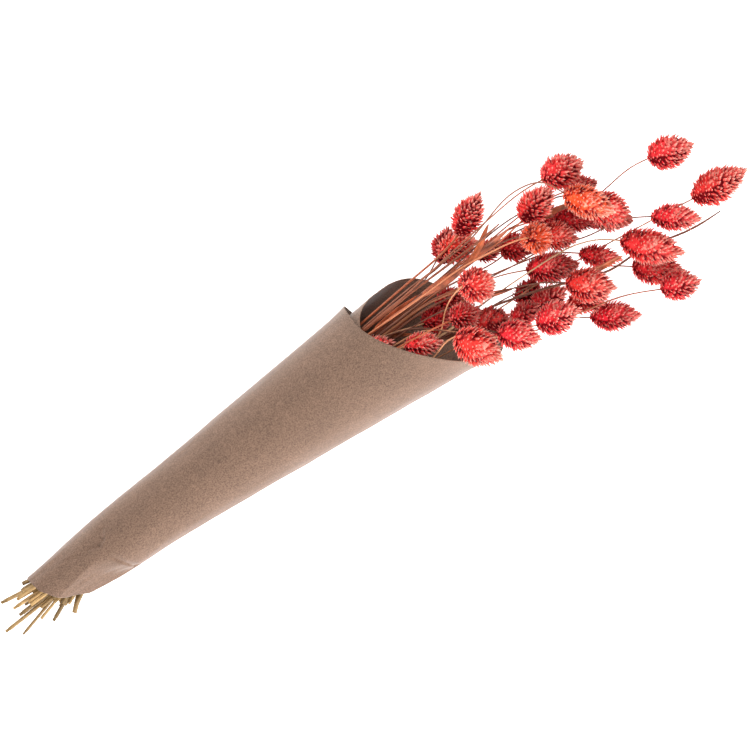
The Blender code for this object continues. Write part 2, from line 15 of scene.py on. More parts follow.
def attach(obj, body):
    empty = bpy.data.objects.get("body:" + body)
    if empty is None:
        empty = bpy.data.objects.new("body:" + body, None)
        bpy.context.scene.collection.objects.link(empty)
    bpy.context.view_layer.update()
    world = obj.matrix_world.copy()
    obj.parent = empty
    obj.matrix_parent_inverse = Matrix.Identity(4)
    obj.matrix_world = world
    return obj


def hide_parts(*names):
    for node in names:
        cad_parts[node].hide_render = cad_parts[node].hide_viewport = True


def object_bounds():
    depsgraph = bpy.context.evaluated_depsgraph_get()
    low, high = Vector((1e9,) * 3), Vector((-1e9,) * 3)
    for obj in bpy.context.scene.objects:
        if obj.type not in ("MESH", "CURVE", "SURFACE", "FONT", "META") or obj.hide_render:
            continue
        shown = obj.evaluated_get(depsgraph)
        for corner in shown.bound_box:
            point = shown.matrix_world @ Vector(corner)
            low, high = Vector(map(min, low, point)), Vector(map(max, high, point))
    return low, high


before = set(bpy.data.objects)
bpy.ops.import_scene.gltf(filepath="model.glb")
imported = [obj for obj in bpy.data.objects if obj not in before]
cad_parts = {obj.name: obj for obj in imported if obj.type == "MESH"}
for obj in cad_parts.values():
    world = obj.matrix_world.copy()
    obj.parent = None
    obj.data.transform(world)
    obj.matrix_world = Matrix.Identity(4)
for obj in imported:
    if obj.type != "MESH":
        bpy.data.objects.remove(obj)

bl_info = {
    "name": "Canary grass bunch",
    "version": (1, 0, 0),
    "blender": (4, 5, 0),
    "location": "3D View > Sidebar > Bunch",
    "description": "Dyed canary grass heads on dry stems in a rolled kraft paper cone",
    "category": "Add Mesh",
}

MM = 0.001
CAD_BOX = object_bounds()

# Paper cone, in mm: its radius at x 0, how fast it widens along x, and the bulge of its narrow part.
CONE_RADIUS = 29.0
CONE_TAPER = 0.0875
BULGE = 1.9
BULGE_X = -98.0
BULGE_SPREAD = 42.0
# The narrow end lies this far to the side, and comes back to the straight line between these x.
END_SIDE = -1.2
END_SIDE_OVER = (-115.0, -50.0)
# How much of the round underside is pressed flat, and how thick the solid's sheet is.
FLAT_DEPTH = 1.2
SOLID_THICKNESS = 0.7
# Faces of the sheet round the cone and along it, and how their rows lie: the share of the rows against the
# share of the length, closer together at the handled narrow end and at the lip. The lip's last strip takes
# the lighter edge colour, a painted highlight along the lip.
SHEET_FACES = (260, 160)
ROW_SPACING = ((0.0, 0.52, 0.92, 1.0), (0.0, 0.245, 0.97, 1.0))
LIP_WIDTH = 0.5
# Turns round the cone are in degrees: 0 is the -Y side, 90 the top, 270 the underside. The sheet runs between
# these. Its first turn lies inside the last by a share of the radius, and comes out from under it between two
# turns.
TURN_FROM = 80.0
TURN_TO = 575.0
TUCK = 0.15
TUCK_OVER = (180.0, 250.0)
# The mouth: the middle x of its slanted edge, how far it swings from there, the turn at which it reaches
# furthest, which shifts between two turns, and the swing of the sheet's free corner.
MOUTH_X = 175.7
MOUTH_SLANT = 39.9
MOUTH_LEAD = (295.0, 315.0)
MOUTH_LEAD_OVER = (200.0, 340.0)
LIP_TURN = 500.0
LIP_SWING = 3.4
# The narrow end's cut edge: turns, and its x at each of them.
END_EDGE = (
    (80, 140, 200, 260, 290, 318, 345, 366, 387, 402, 420, 442, 461, 516, 575),
    (
        -146, -147, -146, -130, -122, -119.4, -121, -125.3, -133.4, -140.4, -145.8, -150.0, -153.8, -157.0,
        -157.0,
    ),
)
# Waves of the uneven sheet: length along x in mm, length round it in degrees, shift, share of the height.
WAVES = ((34.0, 21.0, 0.0, 1.0), (11.0, 9.0, 7.0, 0.4))
# The sheet is free to wave from one height over the floor to the next, and its lip curls from a share of its
# length on, the inner turn's less.
FREE_OVER = (2.0, 8.0)
CURL_FROM = 0.94
INNER_CURL = 0.3

# The tie, in mm: its place, width and twine, and the rows of stems packed in it.
TIE_X = -100.0
TIE_WIDTH = 5.0
TIE_GAUGE = 1.1
TIE_SLACK = 0.1
TIE_RADIUS = 1.4
CUT_RADIUS = 1.2
SLOT_PITCH = 1.9
SLOT_REACH = 5
CLEAR = 0.3
# How a stem's way is found: its points, the rounds that ease it, and how far it keeps off what it passes.
ROUTE_POINTS = 40
ROUTE_ROUNDS = 240
ROUTE_STIFFNESS = 0.15
LARGEST_PUSH = 3.0
ALONG_PUSH = 0.2
PAPER_BERTH = 0.7
TABLE_BERTH = 0.3
STEM_BERTH = 2.4
OWN_HEAD_EASE = 1.0
MOUTH_MARGIN = 13.0
END_MARGIN = 3.0
HIDDEN_EDGE = 14.0
# Reach of the curves that a stem leaves the tie and meets its neck by, as shares of its length or in mm.
CURVE_HANDLE = 0.36
START_REACH = 0.42
NECK_REACH = 0.28
NECK_REACH_RANGE = (20.0, 62.0)
TAIL_REACH = 14.0
TAIL_MIDDLE = 0.4
# The middle that the stems fan out from, past the mouth.
FAN_MIDDLE_Y = -15.0
FAN_MIDDLE_Z = 45.0
# How the heads settle: the gap they keep, the rounds and steps of it, and how far apart two can still touch.
SCALE_RISE = 1.8
HEAD_GAP = 0.5
SETTLE_ROUNDS = 400
SETTLE_REACH = 46.0
SETTLE_STEP = 0.6
LEAST_STEP = 0.15
TABLE_GAP = 1.0
LEAN_DROP = 0.7
# Balls that fill a head: place along it and radius, as shares of its length and half width.
BODY_STATIONS = ((0.10, 0.52), (0.28, 0.90), (0.48, 1.0), (0.68, 0.86), (0.88, 0.55))

# name, x, y, z, heading, lift, length, width: centre in mm, turn in the plan and upward lean in degrees.
HEADS = (
    ("head_01", 244, 44, 70, 28, 10, 33, 22),
    ("head_02", 221, 37, 10, 46, 0, 27, 21),
    ("head_03", 226, 30, 46, -16, -38, 34, 21),
    ("head_04", 244, 16, 36, -5, 5, 24, 17),
    ("head_05", 220, 0, 84, -35, -45, 29, 25),
    ("head_06", 196, -36, 84, -63, -10, 37, 26),
    ("head_07", 167, -12, 66, -29, 0, 27, 18),
    ("head_08", 202, -12, 64, -14, -30, 25, 20),
    ("head_09", 185, -3, 42, -17, -30, 24, 20),
    ("head_10", 202, 3, 40, -11, 0, 24, 18),
    ("head_11", 216, -27, 52, -22, 40, 27, 22),
    ("head_12", 237, -35, 40, 2, 0, 24, 18),
    ("head_13", 224, -45, 76, -44, -10, 32, 22),
    ("head_14", 249, -25, 34, 37, 20, 25, 21),
    ("head_15", 272, -20, 56, -29, 5, 38, 23),
    ("head_16", 254, -50, 60, -14, 5, 32, 24),
    ("head_17", 258, -37, 44, -1, 0, 29, 22),
    ("head_18", 285, -45, 60, -41, 5, 35, 25),
    ("head_19", 281, -53, 23, -21, 0, 31, 20),
    ("head_20", 304, -33, 40, -44, 0, 31, 17),
    ("head_21", 335, -48, 66, -47, 5, 45, 25),
    ("head_22", 333, -64, 34, -41, 0, 38, 24),
    ("head_23", 337, -81, 56, -23, 5, 29, 22),
    ("head_24", 291, -74, 10.5, -32, 0, 36, 22),
    ("head_25", 384, -1, 60, -18, 0, 33, 25),
    ("head_26", 400, -39, 50, -6, 5, 43, 25),
    ("head_27", 362, -41, 52, -37, 0, 36, 20),
    ("head_28", 315, 2, 88, -55, 0, 37, 23),
    ("head_29", 326, -11, 60, -62, 0, 34, 25),
    ("head_30", 324, -14, 38, -45, 0, 34, 20),
    ("head_31", 314, 31, 76, -10, -20, 33, 25),
    ("head_32", 320, 15, 52, -17, 0, 25, 18),
    ("head_33", 287, 23, 66, 14, 0, 32, 23),
    ("head_34", 272, 3, 80, -35, -60, 25, 22),
    ("head_35", 260, 6, 50, -23, -20, 27, 21),
    ("head_36", 287, -5, 52, -41, 0, 26, 21),
    ("head_37", 305, -2, 50, -41, 0, 32, 20),
    ("head_38", 293, 10, 9.6, -23, 0, 27, 20),
    ("head_39", 140, 5, 62, -18, 0, 24, 17),
)
# A papery scale: its section from the left edge over the keel and back inside, and its width along it.
SCALE_SECTION = ((-1.0, -0.30), (-0.5, 0.04), (0.0, 0.42), (0.5, 0.04), (1.0, -0.30), (0.0, 0.08))
SCALE_WIDTHS = (0.0, 0.50, 0.92, 1.0, 0.70, 0.28, 0.0)
SCALE_STATIONS = (0.0, 0.08, 0.32, 0.55, 0.76, 0.91, 1.0)
SCALE_BOW = 0.12
# How far a scale leans from its head's axis, at the base and the fall to the tip, in degrees.
LEAN_BASE = 110.0
LEAN_FALL = 94.0
LEAN_POWER = 0.8
# Turn from one scale of the spiral to the next, and how near a scale may come to either end, as a share.
GOLDEN_TURN = math.pi * (3.0 - math.sqrt(5.0))
SHARE_LIMIT = 0.004
# The egg-shaped outline of the tips: how far its widest place is drawn back, and how round its ends are.
OUTLINE_SKEW = 0.82
OUTLINE_ROUND = (0.50, 0.28)
# Size of the scales at a head's base, as a share of full size, and where along the head they reach it.
BASE_LENGTH = (0.62, 0.55)
BASE_WIDTH = (0.72, 0.50)
# How much the scales differ: place along the head, distance from its axis, lean in degrees, place round it
# and twist in radians, length, width, how deep the root goes, and brightness.
PLACE_SPREAD = 0.010
TIP_RANGE = (0.91, 1.06)
LEAN_SPREAD = 7.0
AROUND_SPREAD = 0.06
TWIST_SPREAD = 0.22
LENGTH_RANGE = (0.86, 1.14)
WIDTH_RANGE = (0.84, 1.16)
ROOT_RANGE = (0.84, 1.0)
SHADE_RANGE = (0.80, 1.14)
# The core: its faces round and along, how deep it lies under the tips in mm, its half length and how far back
# its middle lies as shares of the head's length, and how much darker it is painted, as painted shade deep
# inside the head.
CORE_FACES = (12, 10)
CORE_DEPTH = 2.8
CORE_LENGTH = 0.41
CORE_BACK = 0.07
CORE_SHADE = 0.6
# Half the width of the painted highlight along a scale's keel, as a share of its width.
KEEL_WIDTH = 0.2
# The least height of a scale over the floor, in mm.
FLOOR_GAP = 0.05
# How each head took the dye, with painted shade on heads that lie in the shade of others: depth from pale 0
# to maroon 1, partly the dye and partly that painted shade, and warmth from rose 0 to orange 1.
DYE_AND_SHADE = {
    "head_01": (0.10, 0.15), "head_02": (0.55, 0.05), "head_03": (0.20, 0.35), "head_04": (0.50, 0.10),
    "head_05": (0.10, 0.25), "head_06": (0.05, 0.25), "head_07": (0.05, 0.15), "head_08": (0.35, 0.15),
    "head_09": (0.75, 0.10), "head_10": (0.80, 0.10), "head_11": (0.45, 0.20), "head_12": (0.55, 0.05),
    "head_13": (0.10, 0.05), "head_14": (0.95, 0.05), "head_15": (0.30, 0.05), "head_16": (0.05, 0.05),
    "head_17": (0.45, 0.10), "head_18": (0.20, 0.25), "head_19": (0.60, 0.25), "head_20": (0.45, 0.10),
    "head_21": (0.15, 0.15), "head_22": (0.40, 0.10), "head_23": (0.20, 0.05), "head_24": (0.40, 0.00),
    "head_25": (0.15, 0.10), "head_26": (0.15, 0.20), "head_27": (0.10, 0.05), "head_28": (0.00, 0.75),
    "head_29": (0.10, 0.20), "head_30": (0.35, 0.10), "head_31": (0.15, 0.15), "head_32": (0.50, 0.10),
    "head_33": (0.15, 0.20), "head_34": (0.40, 0.80), "head_35": (0.75, 0.10), "head_36": (0.35, 0.30),
    "head_37": (0.65, 0.05), "head_38": (0.85, 0.05), "head_39": (0.05, 0.15),
}
# Stalks that have lost their head: x, y, z of the bare tip in mm, heading and lift in degrees.
BARE_STALKS = (
    (391, -55, 36, 1, 4),
    (256, 26, 84, 8, 10),
)
# Places that a stem passes on its way, in mm, where it arches clear of the rest.
ARCHES = {
    "head_01": ((160, 27, 60), (190, 30, 65)),
    "head_02": ((160, 24, 50), (192, 27, 22)),
    "head_03": ((160, 23, 60), (192, 22, 63)),
    "head_05": ((166, -13, 48), (181, -14, 61)),
    "head_06": ((164, -24, 64), (178, -18, 81)),
    "head_12": ((203, -29, 36),),
    "head_21": ((286, -14, 69),),
    "head_23": ((294, -62, 48),),
    "head_25": ((352, 7, 56),),
    "head_26": ((360, -34, 42),),
    "head_28": ((170, 25, 70), (234, 28, 80), (271, 39, 97), (294, 36, 101)),
    "bare_1": ((165, 22, 68),),
}
# Most stems lean to the +Y side where they leave the paper, at this x. Their side and height there are a
# number and a share of their necks'. A neck nearer to the mouth than this reach is met straight from the tie.
THROAT_X = 165.0
THROAT_SIDE = (12.0, 0.27)
THROAT_HEIGHT = (34.0, 0.42)
THROAT_REACH = 45.0
# Leaf sheaths clasp a head's stem over a stretch of x: head, from, to and radius in mm, and brightness.
SHEATHS = (
    ("head_07", 106, 146, 2.4, 0.6),
    ("head_39", 82, 116, 2.2, 0.6),
    ("head_32", 148, 184, 3.3, 1.7),
    ("head_33", 187, 217, 3.4, 1.1),
    ("head_18", 204, 232, 2.2, 0.9),
    ("head_25", 282, 312, 2.0, 0.9),
)
# Leaf blades leave a stem at x and reach a tip: head, x, tip x, y, z, half width in mm, and their brightness.
BLADES = (
    ("head_22", 280, 315, -41, 60, 2.1, 1.0),
    ("head_33", 222, 250, 30, 84, 2.4, 1.2),
    ("head_10", 138, 164, -1, 62, 1.8, 0.8),
    ("head_35", 204, 262, 20, 66, 2.2, 0.7),
    ("head_14", 150, 212, -33, 30, 2.0, 0.6),
)
# A stem's radius at its cut end, in mm, and where it narrows: from, and over, as shares of its length.
STOUT_RANGE = (1.05, 1.55)
NARROWING = (0.15, 0.6)
# Where along x the thin sheaths that wrap all stems end, how much they add to the radius, how sharp their
# step is, and where they start and how slowly, in mm.
SHEATH_ENDS = (95.0, 235.0)
SHEATH_EXTRA = (0.1, 0.6)
SHEATH_STEP = 1.5
SHEATH_START = (-60.0, 100.0)
# Knots of a stem: how many, between which shares of its length, how thick and how long.
KNOTS = 3
KNOT_RANGE = (0.08, 0.8)
KNOT_SWELL = 0.28
KNOT_LENGTH = 1.2
# Stems with no sheath above the paper, which are slim past this stretch of x.
SLIM = ("head_05", "head_06", "head_28", "head_31")
SLIM_OVER = (40.0, 100.0)
# A stalk that has lost its head: shares of its length, and its thickness there against other stems.
BARE_SHAPE = ((0.0, 0.97, 1.0), (1.4, 1.6, 0.9))
# Stems whose tone isn't left to chance, from dull 0 to pale 1, and those whose brightness isn't.
TONES = {
    "head_01": 0.6, "head_02": 0.4, "head_03": 0.3, "head_05": 0.85, "head_06": 0.85, "head_28": 0.3,
    "head_31": 0.35, "head_32": 0.6, "head_33": 0.5, "bare_0": 0.3, "bare_1": 0.4,
}
SHADES = {**{name: 1.2 for name in SLIM}, "bare_0": 0.75, "bare_1": 0.9}
STEM_SHADE_RANGE = (0.5, 1.25)
# Length of a stem between its rings, and the wall and depth of a cut end's bore, in mm.
STEM_SPACING = 5.0
BORE_WALL = 0.28
BORE_DEPTH = 3.0
# A leaf's row spacing and thickness, the radius that a sheath starts from, and a blade's rise, in mm, and
# the points of a blade's way.
LEAF_SPACING = 2.0
LEAF_THICKNESS = 0.25
SHEATH_ROOT = 0.9
BLADE_RISE = 3.0
BLADE_POINTS = 16
# How far a sheath's stem shows past the stretch given, before and after it, in mm. How deeply sheaths and
# blades are folded along the midrib, and how far they twist, in radians.
SHEATH_ENDS_PAST = (6.0, 8.0)
SHEATH_FOLD = 0.55
SHEATH_TWIST = 0.5
BLADE_FOLD = 0.35
BLADE_TWIST = 0.9
# The twine's strands: turns round each other, reach from its middle and radius in mm, points and sides.
STRAND_TURNS = 14
STRAND_REACH = 0.28
STRAND_RADIUS = 0.27
STRAND_POINTS = 97
STRAND_SIDES = 6
# Heads that lie on the table.
RESTING_HEADS = ("head_02", "head_24", "head_38")

# Tips of the cut ends that show beyond the narrow end of the paper, in mm.
CUT_TIPS = (
    (-180, 10, 12),
    (-163, 13, 10),
    (-163, 7, 17),
    (-173, 6, 7),
    (-175, 2, 12),
    (-175, -4, 6),
    (-190, -8, 5),
    (-181, -16, 5),
    (-166, -15, 13),
    (-157, -20, 13),
    (-145, -25, 6),
)
# The other straws end a little way past the paper, whose narrow end has its outline as y, and x at each y.
SHORT_TIPS_PAST = (2.0, 16.0)
SHORT_TIPS_Y = (-21.0, 12.0)
SHORT_TIPS_Z = (4.0, 18.0)
END_OUTLINE = ((-21.0, -16.0, -10.0, -3.0, 3.0, 13.0), (-126.0, -134.0, -145.0, -150.0, -154.0, -156.0))
# The cut ends against the tie's slots: how much wider they fan out, the height of their middle, and how much
# their height counts in the match.
TIP_FAN_Y = 2.2
TIP_FAN_Z = 1.2
TIP_MIDDLE_Z = 10.0
TIP_HEIGHT_WEIGHT = 0.4
SEED = 7

# A fold runs round the handled narrow end, from its x at turn 360 on, by so many mm a degree. Past it, over
# the fold's rise, the sheet is pressed flat on the side that faces the facet's turn, to a distance from the
# cone's middle line that grows a little towards the end. It reaches no further round than these turns, or
# this cosine of the angle from the facet's turn.
FOLD_X = -80.0
FOLD_SLOPE = -0.19
FOLD_RISE = 25.0
FACET_TURN = 402.0
FACET_REACH = (16.2, 0.002)
FACET_TURNS = (320.0, 520.0)
FACET_LEAST = 0.3
# Creases beside the fold, as runs in the plan: from x, y to x, y, depth, width and side of the dent, in mm.
CREASES = (
    (-109, 6, -100.5, 2, 1.1, 4.0, 1),
    (-100.5, 2, -94.5, 4.6, 1.0, 4.0, 1),
    (-94.5, 4.6, -90.7, 11.3, 0.8, 4.0, 1),
    (-125, 9, -109, 6, 0.8, 5.0, -1),
    (-97, -10, -89, -25, 1.3, 3.5, 1),
)
# A crease fades in and out over these shares of its run, and its sharp side over this width, in mm.
CREASE_ENDS = ((-0.25, 0.1), (0.9, 1.25))
CREASE_EDGE = (-0.8, 0.4)
# Noise values mostly lie between these, which the patterns stretch to their own ranges.
NOISE_SPAN = {"From Min": 0.3, "From Max": 0.7}
# The stems turn from straw to brown between these x, in mm.
BROWNED_OVER = (-125.0, 20.0)


def linear(hex_colour):
    """An sRGB hex colour as the linear values that Blender's sockets hold."""
    parts = [int(hex_colour[i:i + 2], 16) / 255.0 for i in (1, 3, 5)]
    return tuple(c / 12.92 if c <= 0.04045 else ((c + 0.055) / 1.055) ** 2.4 for c in parts)


def colour_setting(name, description, hex_colour):
    return FloatVectorProperty(
        name=name, description=description, default=linear(hex_colour), subtype="COLOR", min=0.0, max=1.0
    )


class BunchPaperSettings(bpy.types.PropertyGroup):
    thickness: FloatProperty(
        name="Thickness", description="Thickness of the kraft sheet", default=0.45 * MM,
        unit="LENGTH", precision=5
    )
    crumple: FloatProperty(
        name="Crumple", description="Height of the sheet's soft unevenness", default=0.35 * MM,
        unit="LENGTH", precision=5
    )
    curl: FloatProperty(
        name="Lip curl", description="How far the mouth's edge curls out", default=1.2 * MM,
        unit="LENGTH", precision=5
    )
    pulp: colour_setting("Pulp", "Colour of the paper between its fibres", "#7f624f")
    fibre: colour_setting("Fibre", "Colour of the paper's darker fibres", "#594233")
    # Painted highlight: this lighter colour stands for the light line along the sheet's cut edge and lip.
    edge: colour_setting("Cut edge", "Colour of the sheet's cut edge", "#a88e79")


class BunchHeadSettings(bpy.types.PropertyGroup):
    growth: FloatProperty(
        name="Growth", description="Size of the heads against their solids", default=1.05, min=0.5
    )
    scale_area: FloatProperty(
        name="Area per scale", description="Surface of a head that a scale covers, in square mm", default=9.2
    )
    scale_length: FloatProperty(
        name="Scale length", description="Length of a papery scale",
        default=9.0 * MM, unit="LENGTH", precision=5
    )
    scale_width: FloatProperty(
        name="Scale width", description="Width of a papery scale",
        default=3.0 * MM, unit="LENGTH", precision=5
    )
    seed: IntProperty(name="Seed", description="Start of the random draws", default=11)
    # Painted shade: this colour darkens the roots of the scales and the core, where the scales over them
    # shade them.
    shadow: colour_setting("Shadow", "Dye deep between the scales", "#7c0d18")
    body: colour_setting("Body", "Dye over most of a scale", "#ff3a48")
    # Pale tip colour: partly the scales' own paler dye, partly a painted highlight of light through the thin
    # tips.
    tip: colour_setting("Tip", "Faded edge and tip of a scale", "#ffc6b2")
    orange: colour_setting("Orange", "Warm cast of some heads", "#ff6a32")
    # Maroon darkens the heads by their depth: partly deeper dye, partly painted shade on heads in the shade
    # of others.
    maroon: colour_setting("Maroon", "What darkens the heads that took the most dye", "#a3404a")


class BunchStemSettings(bpy.types.PropertyGroup):
    sides: IntProperty(name="Sides", description="Sides of a round stem", default=8, min=5, max=16)
    neck_radius: FloatProperty(
        name="Neck radius", description="Radius of a stem below its head", default=0.52 * MM,
        unit="LENGTH", precision=5
    )
    straw: colour_setting("Straw", "Pale colour of the cut ends", "#b18f60")
    brown: colour_setting("Brown", "Colour of the dried stems near the heads", "#7d4c38")
    grey: colour_setting("Grey brown", "Colour of the duller stems", "#6c4232")
    tan: colour_setting("Tan", "Colour of the paler stems", "#bf9470")
    leaf: colour_setting("Leaf", "Colour of the dried sheaths and blades", "#b8603c")


class BunchTieSettings(bpy.types.PropertyGroup):
    turns: IntProperty(name="Turns", description="Turns of twine in the tie", default=4, min=1, max=8)
    jute: colour_setting("Jute", "Colour of the twine", "#a98a5c")


class BunchStageSettings(bpy.types.PropertyGroup):
    floor: colour_setting("Floor", "Colour of the floor", "#ffffff")
    floor_glow: FloatProperty(
        name="Floor glow", description="Light that the backlit floor gives off", default=0.72, min=0.0
    )
    right_power: FloatProperty(
        name="Right light", description="Power of the long light at the right", default=32.5, min=0.0
    )
    left_power: FloatProperty(
        name="Left light", description="Power of the long light at the left", default=19.0, min=0.0
    )
    top_power: FloatProperty(
        name="Top light", description="Power of the light overhead", default=43.0, min=0.0
    )
    world_light: FloatProperty(
        name="Room light", description="Strength of the even light of the white studio", default=0.25, min=0.0
    )
    camera_height: FloatProperty(
        name="Camera height", description="Height of the camera over the floor", default=2.24,
        unit="LENGTH"
    )


SETTINGS = {
    "bunch_paper": BunchPaperSettings,
    "bunch_heads": BunchHeadSettings,
    "bunch_stems": BunchStemSettings,
    "bunch_tie": BunchTieSettings,
    "bunch_stage": BunchStageSettings,
}


def add_node(tree, kind, inputs=None, ramp=None, **settings):
    """One shader node; an input given as another node's output is linked, and any other value is set."""
    node = tree.nodes.new(kind)
    for name, value in settings.items():
        setattr(node, name, value)
    if ramp:
        elements = node.color_ramp.elements
        elements[0].position, elements[0].color = ramp[0][0], (*ramp[0][1], 1.0)
        elements[1].position, elements[1].color = ramp[-1][0], (*ramp[-1][1], 1.0)
        for place, colour in ramp[1:-1]:
            elements.new(place).color = (*colour, 1.0)
    for key, value in (inputs or {}).items():
        if isinstance(value, bpy.types.NodeSocket):
            tree.links.new(value, node.inputs[key])
        else:
            node.inputs[key].default_value = value
    return node


# Sockets of a colour Mix node, which share their names with its other kinds.
MIX_FACTOR, MIX_A, MIX_B, MIX_OUT = 0, 6, 7, 2


def mix_colours(tree, factor, one, two, blend="MIX"):
    one, two = ((*c, 1.0) if isinstance(c, tuple) else c for c in (one, two))
    node = add_node(
        tree, "ShaderNodeMix", {MIX_FACTOR: factor, MIX_A: one, MIX_B: two},
        data_type="RGBA", blend_type=blend,
    )
    return node.outputs[MIX_OUT]


def new_material(name):
    """An empty surface with its tree and Principled shader."""
    mat = bpy.data.materials.new(name)
    mat.use_nodes = True
    tree = mat.node_tree
    return mat, tree, tree.nodes["Principled BSDF"]


def attribute(tree, name):
    return add_node(tree, "ShaderNodeAttribute", attribute_name=name).outputs["Fac"]


def object_places(tree, stretch=(1.0, 1.0, 1.0)):
    places = add_node(tree, "ShaderNodeTexCoord").outputs["Object"]
    return add_node(tree, "ShaderNodeMapping", {"Vector": places, "Scale": stretch}).outputs["Vector"]


def per_mm(size):
    """Noise scale, on coordinates in metres, whose features are about this many mm."""
    return 1.0 / (size * MM)


def finish_surface(tree, shader, colour, relief, strength, depth, values):
    """Lays a colour and a relief of some depth in mm on a shader, and sets its even sockets."""
    bump = add_node(tree, "ShaderNodeBump", {"Height": relief, "Strength": strength, "Distance": depth * MM})
    tree.links.new(colour, shader.inputs["Base Color"])
    tree.links.new(bump.outputs["Normal"], shader.inputs["Normal"])
    for key, value in values.items():
        shader.inputs[key].default_value = value


def kraft_paper_material(settings):
    """Unbleached kraft, calendered on a paper machine: matt, with short darker fibres and a soft mottle.

    The specks are drawn coarser than real fibres, which would be too fine to show in the picture.
    """
    mat, tree, shader = new_material("kraft_paper_calendered")
    places = object_places(tree)
    speckle = add_node(tree, "ShaderNodeTexNoise", {
        "Vector": places, "Scale": per_mm(0.85), "Detail": 2.0, "Roughness": 0.6,
    }).outputs["Fac"]
    fibres = add_node(tree, "ShaderNodeTexNoise", {
        "Vector": object_places(tree, (1.0, 4.0, 4.0)), "Scale": per_mm(4.0),
        "Detail": 4.0, "Distortion": 1.2,
    }).outputs["Fac"]
    mottle = add_node(tree, "ShaderNodeTexNoise", {
        "Vector": places, "Scale": per_mm(28.0), "Detail": 2.0,
    }).outputs["Fac"]
    grain = add_node(tree, "ShaderNodeMapRange", {"Value": speckle, "From Min": 0.38, "From Max": 0.62})
    colour = mix_colours(tree, grain.outputs["Result"], tuple(settings.fibre), tuple(settings.pulp))
    light = add_node(tree, "ShaderNodeMapRange", {
        "Value": fibres, **NOISE_SPAN, "To Min": 0.90, "To Max": 1.08,
    }).outputs["Result"]
    broad = add_node(tree, "ShaderNodeMapRange", {
        "Value": mottle, **NOISE_SPAN, "To Min": 0.95, "To Max": 1.05,
    }).outputs["Result"]
    light = add_node(tree, "ShaderNodeMath", {0: light, 1: broad}, operation="MULTIPLY").outputs["Value"]
    colour = mix_colours(tree, 1.0, colour, light, "MULTIPLY")
    finish_surface(tree, shader, colour, speckle, 0.25, 0.12, {
        "Roughness": 0.82, "IOR": 1.5, "Sheen Weight": 0.35, "Sheen Roughness": 0.45,
    })
    return mat


def edge_highlight_material(settings):
    """The sheet's cut edge and the lip's last strip, painted lighter than the face as a painted highlight
    along the rim.
    """
    mat, tree, shader = new_material("kraft_paper_cut_edge")
    lint = add_node(tree, "ShaderNodeTexNoise", {
        "Vector": object_places(tree), "Scale": per_mm(0.8),
    }).outputs["Fac"]
    colour = add_node(tree, "ShaderNodeValToRGB", {"Fac": lint}, ramp=(
        (0.3, tuple(settings.pulp)), (0.65, tuple(settings.edge)),
    )).outputs["Color"]
    tree.links.new(colour, shader.inputs["Base Color"])
    shader.inputs["Roughness"].default_value = 0.9
    return mat


def dyed_scale_material(settings):
    """Papery grass scales soaked in dye and dried: painted shade at their roots, where the scales overlap, a
    painted highlight on their keels, and paler tips, partly their own paler dye and partly painted light
    through them.

    The dye is soaked in and not a coat, so the surface stays matt and has hardly any gloss.
    """
    mat, tree, shader = new_material("dyed_grass_scales")
    along, place = attribute(tree, "along"), attribute(tree, "place")
    shade, depth, warmth = (attribute(tree, name) for name in ("shade", "depth", "warmth"))
    shadow, body, tip, orange, maroon = (
        tuple(c) for c in (settings.shadow, settings.body, settings.tip, settings.orange, settings.maroon)
    )
    # Along each scale: painted shade at its root, its dye in the middle, and a paler tip that is partly
    # painted light.
    cool, warm = (add_node(tree, "ShaderNodeValToRGB", {"Fac": along}, ramp=(
        (0.0, shadow), (0.10, shadow), (0.33, middle), (0.71, middle), (1.0, tip),
    )).outputs["Color"] for middle in (body, orange))
    scale = mix_colours(tree, warmth, cool, warm)
    # A painted highlight: the keels are lightened towards the tip colour, more so towards each scale's tip.
    keel_highlight = add_node(tree, "ShaderNodeMath", {0: attribute(tree, "keel"), 1: 0.25}, operation="MULTIPLY")
    keel_highlight = add_node(tree, "ShaderNodeMath", {0: keel_highlight.outputs["Value"], 1: along}, operation="MULTIPLY")
    colour = mix_colours(tree, keel_highlight.outputs["Value"], scale, tip)
    # Lighter towards the head's tip: partly paler dye, partly painted light through the thin tips.
    paler_and_lit_tips = add_node(tree, "ShaderNodeMapRange", {
        "Value": place, "From Min": 0.45, "From Max": 1.0, "To Min": 0.0, "To Max": 0.38,
    }).outputs["Result"]
    colour = mix_colours(tree, paler_and_lit_tips, colour, tip)
    streaks = add_node(tree, "ShaderNodeTexNoise", {
        "Vector": object_places(tree), "Scale": per_mm(1.6), "Detail": 3.0,
    }).outputs["Fac"]
    light = add_node(tree, "ShaderNodeMapRange", {
        "Value": streaks, **NOISE_SPAN, "To Min": 0.76, "To Max": 1.18,
    }).outputs["Result"]
    light = add_node(tree, "ShaderNodeMath", {0: light, 1: shade}, operation="MULTIPLY").outputs["Value"]
    colour = mix_colours(tree, 1.0, colour, light, "MULTIPLY")
    # Heads with depth are darkened towards maroon: partly deeper dye, partly painted shade.
    deep = mix_colours(tree, 1.0, colour, maroon, "MULTIPLY")
    colour = mix_colours(tree, depth, colour, deep)
    finish_surface(tree, shader, colour, streaks, 0.3, 0.15, {"Roughness": 0.62, "Specular IOR Level": 0.03})
    return mat


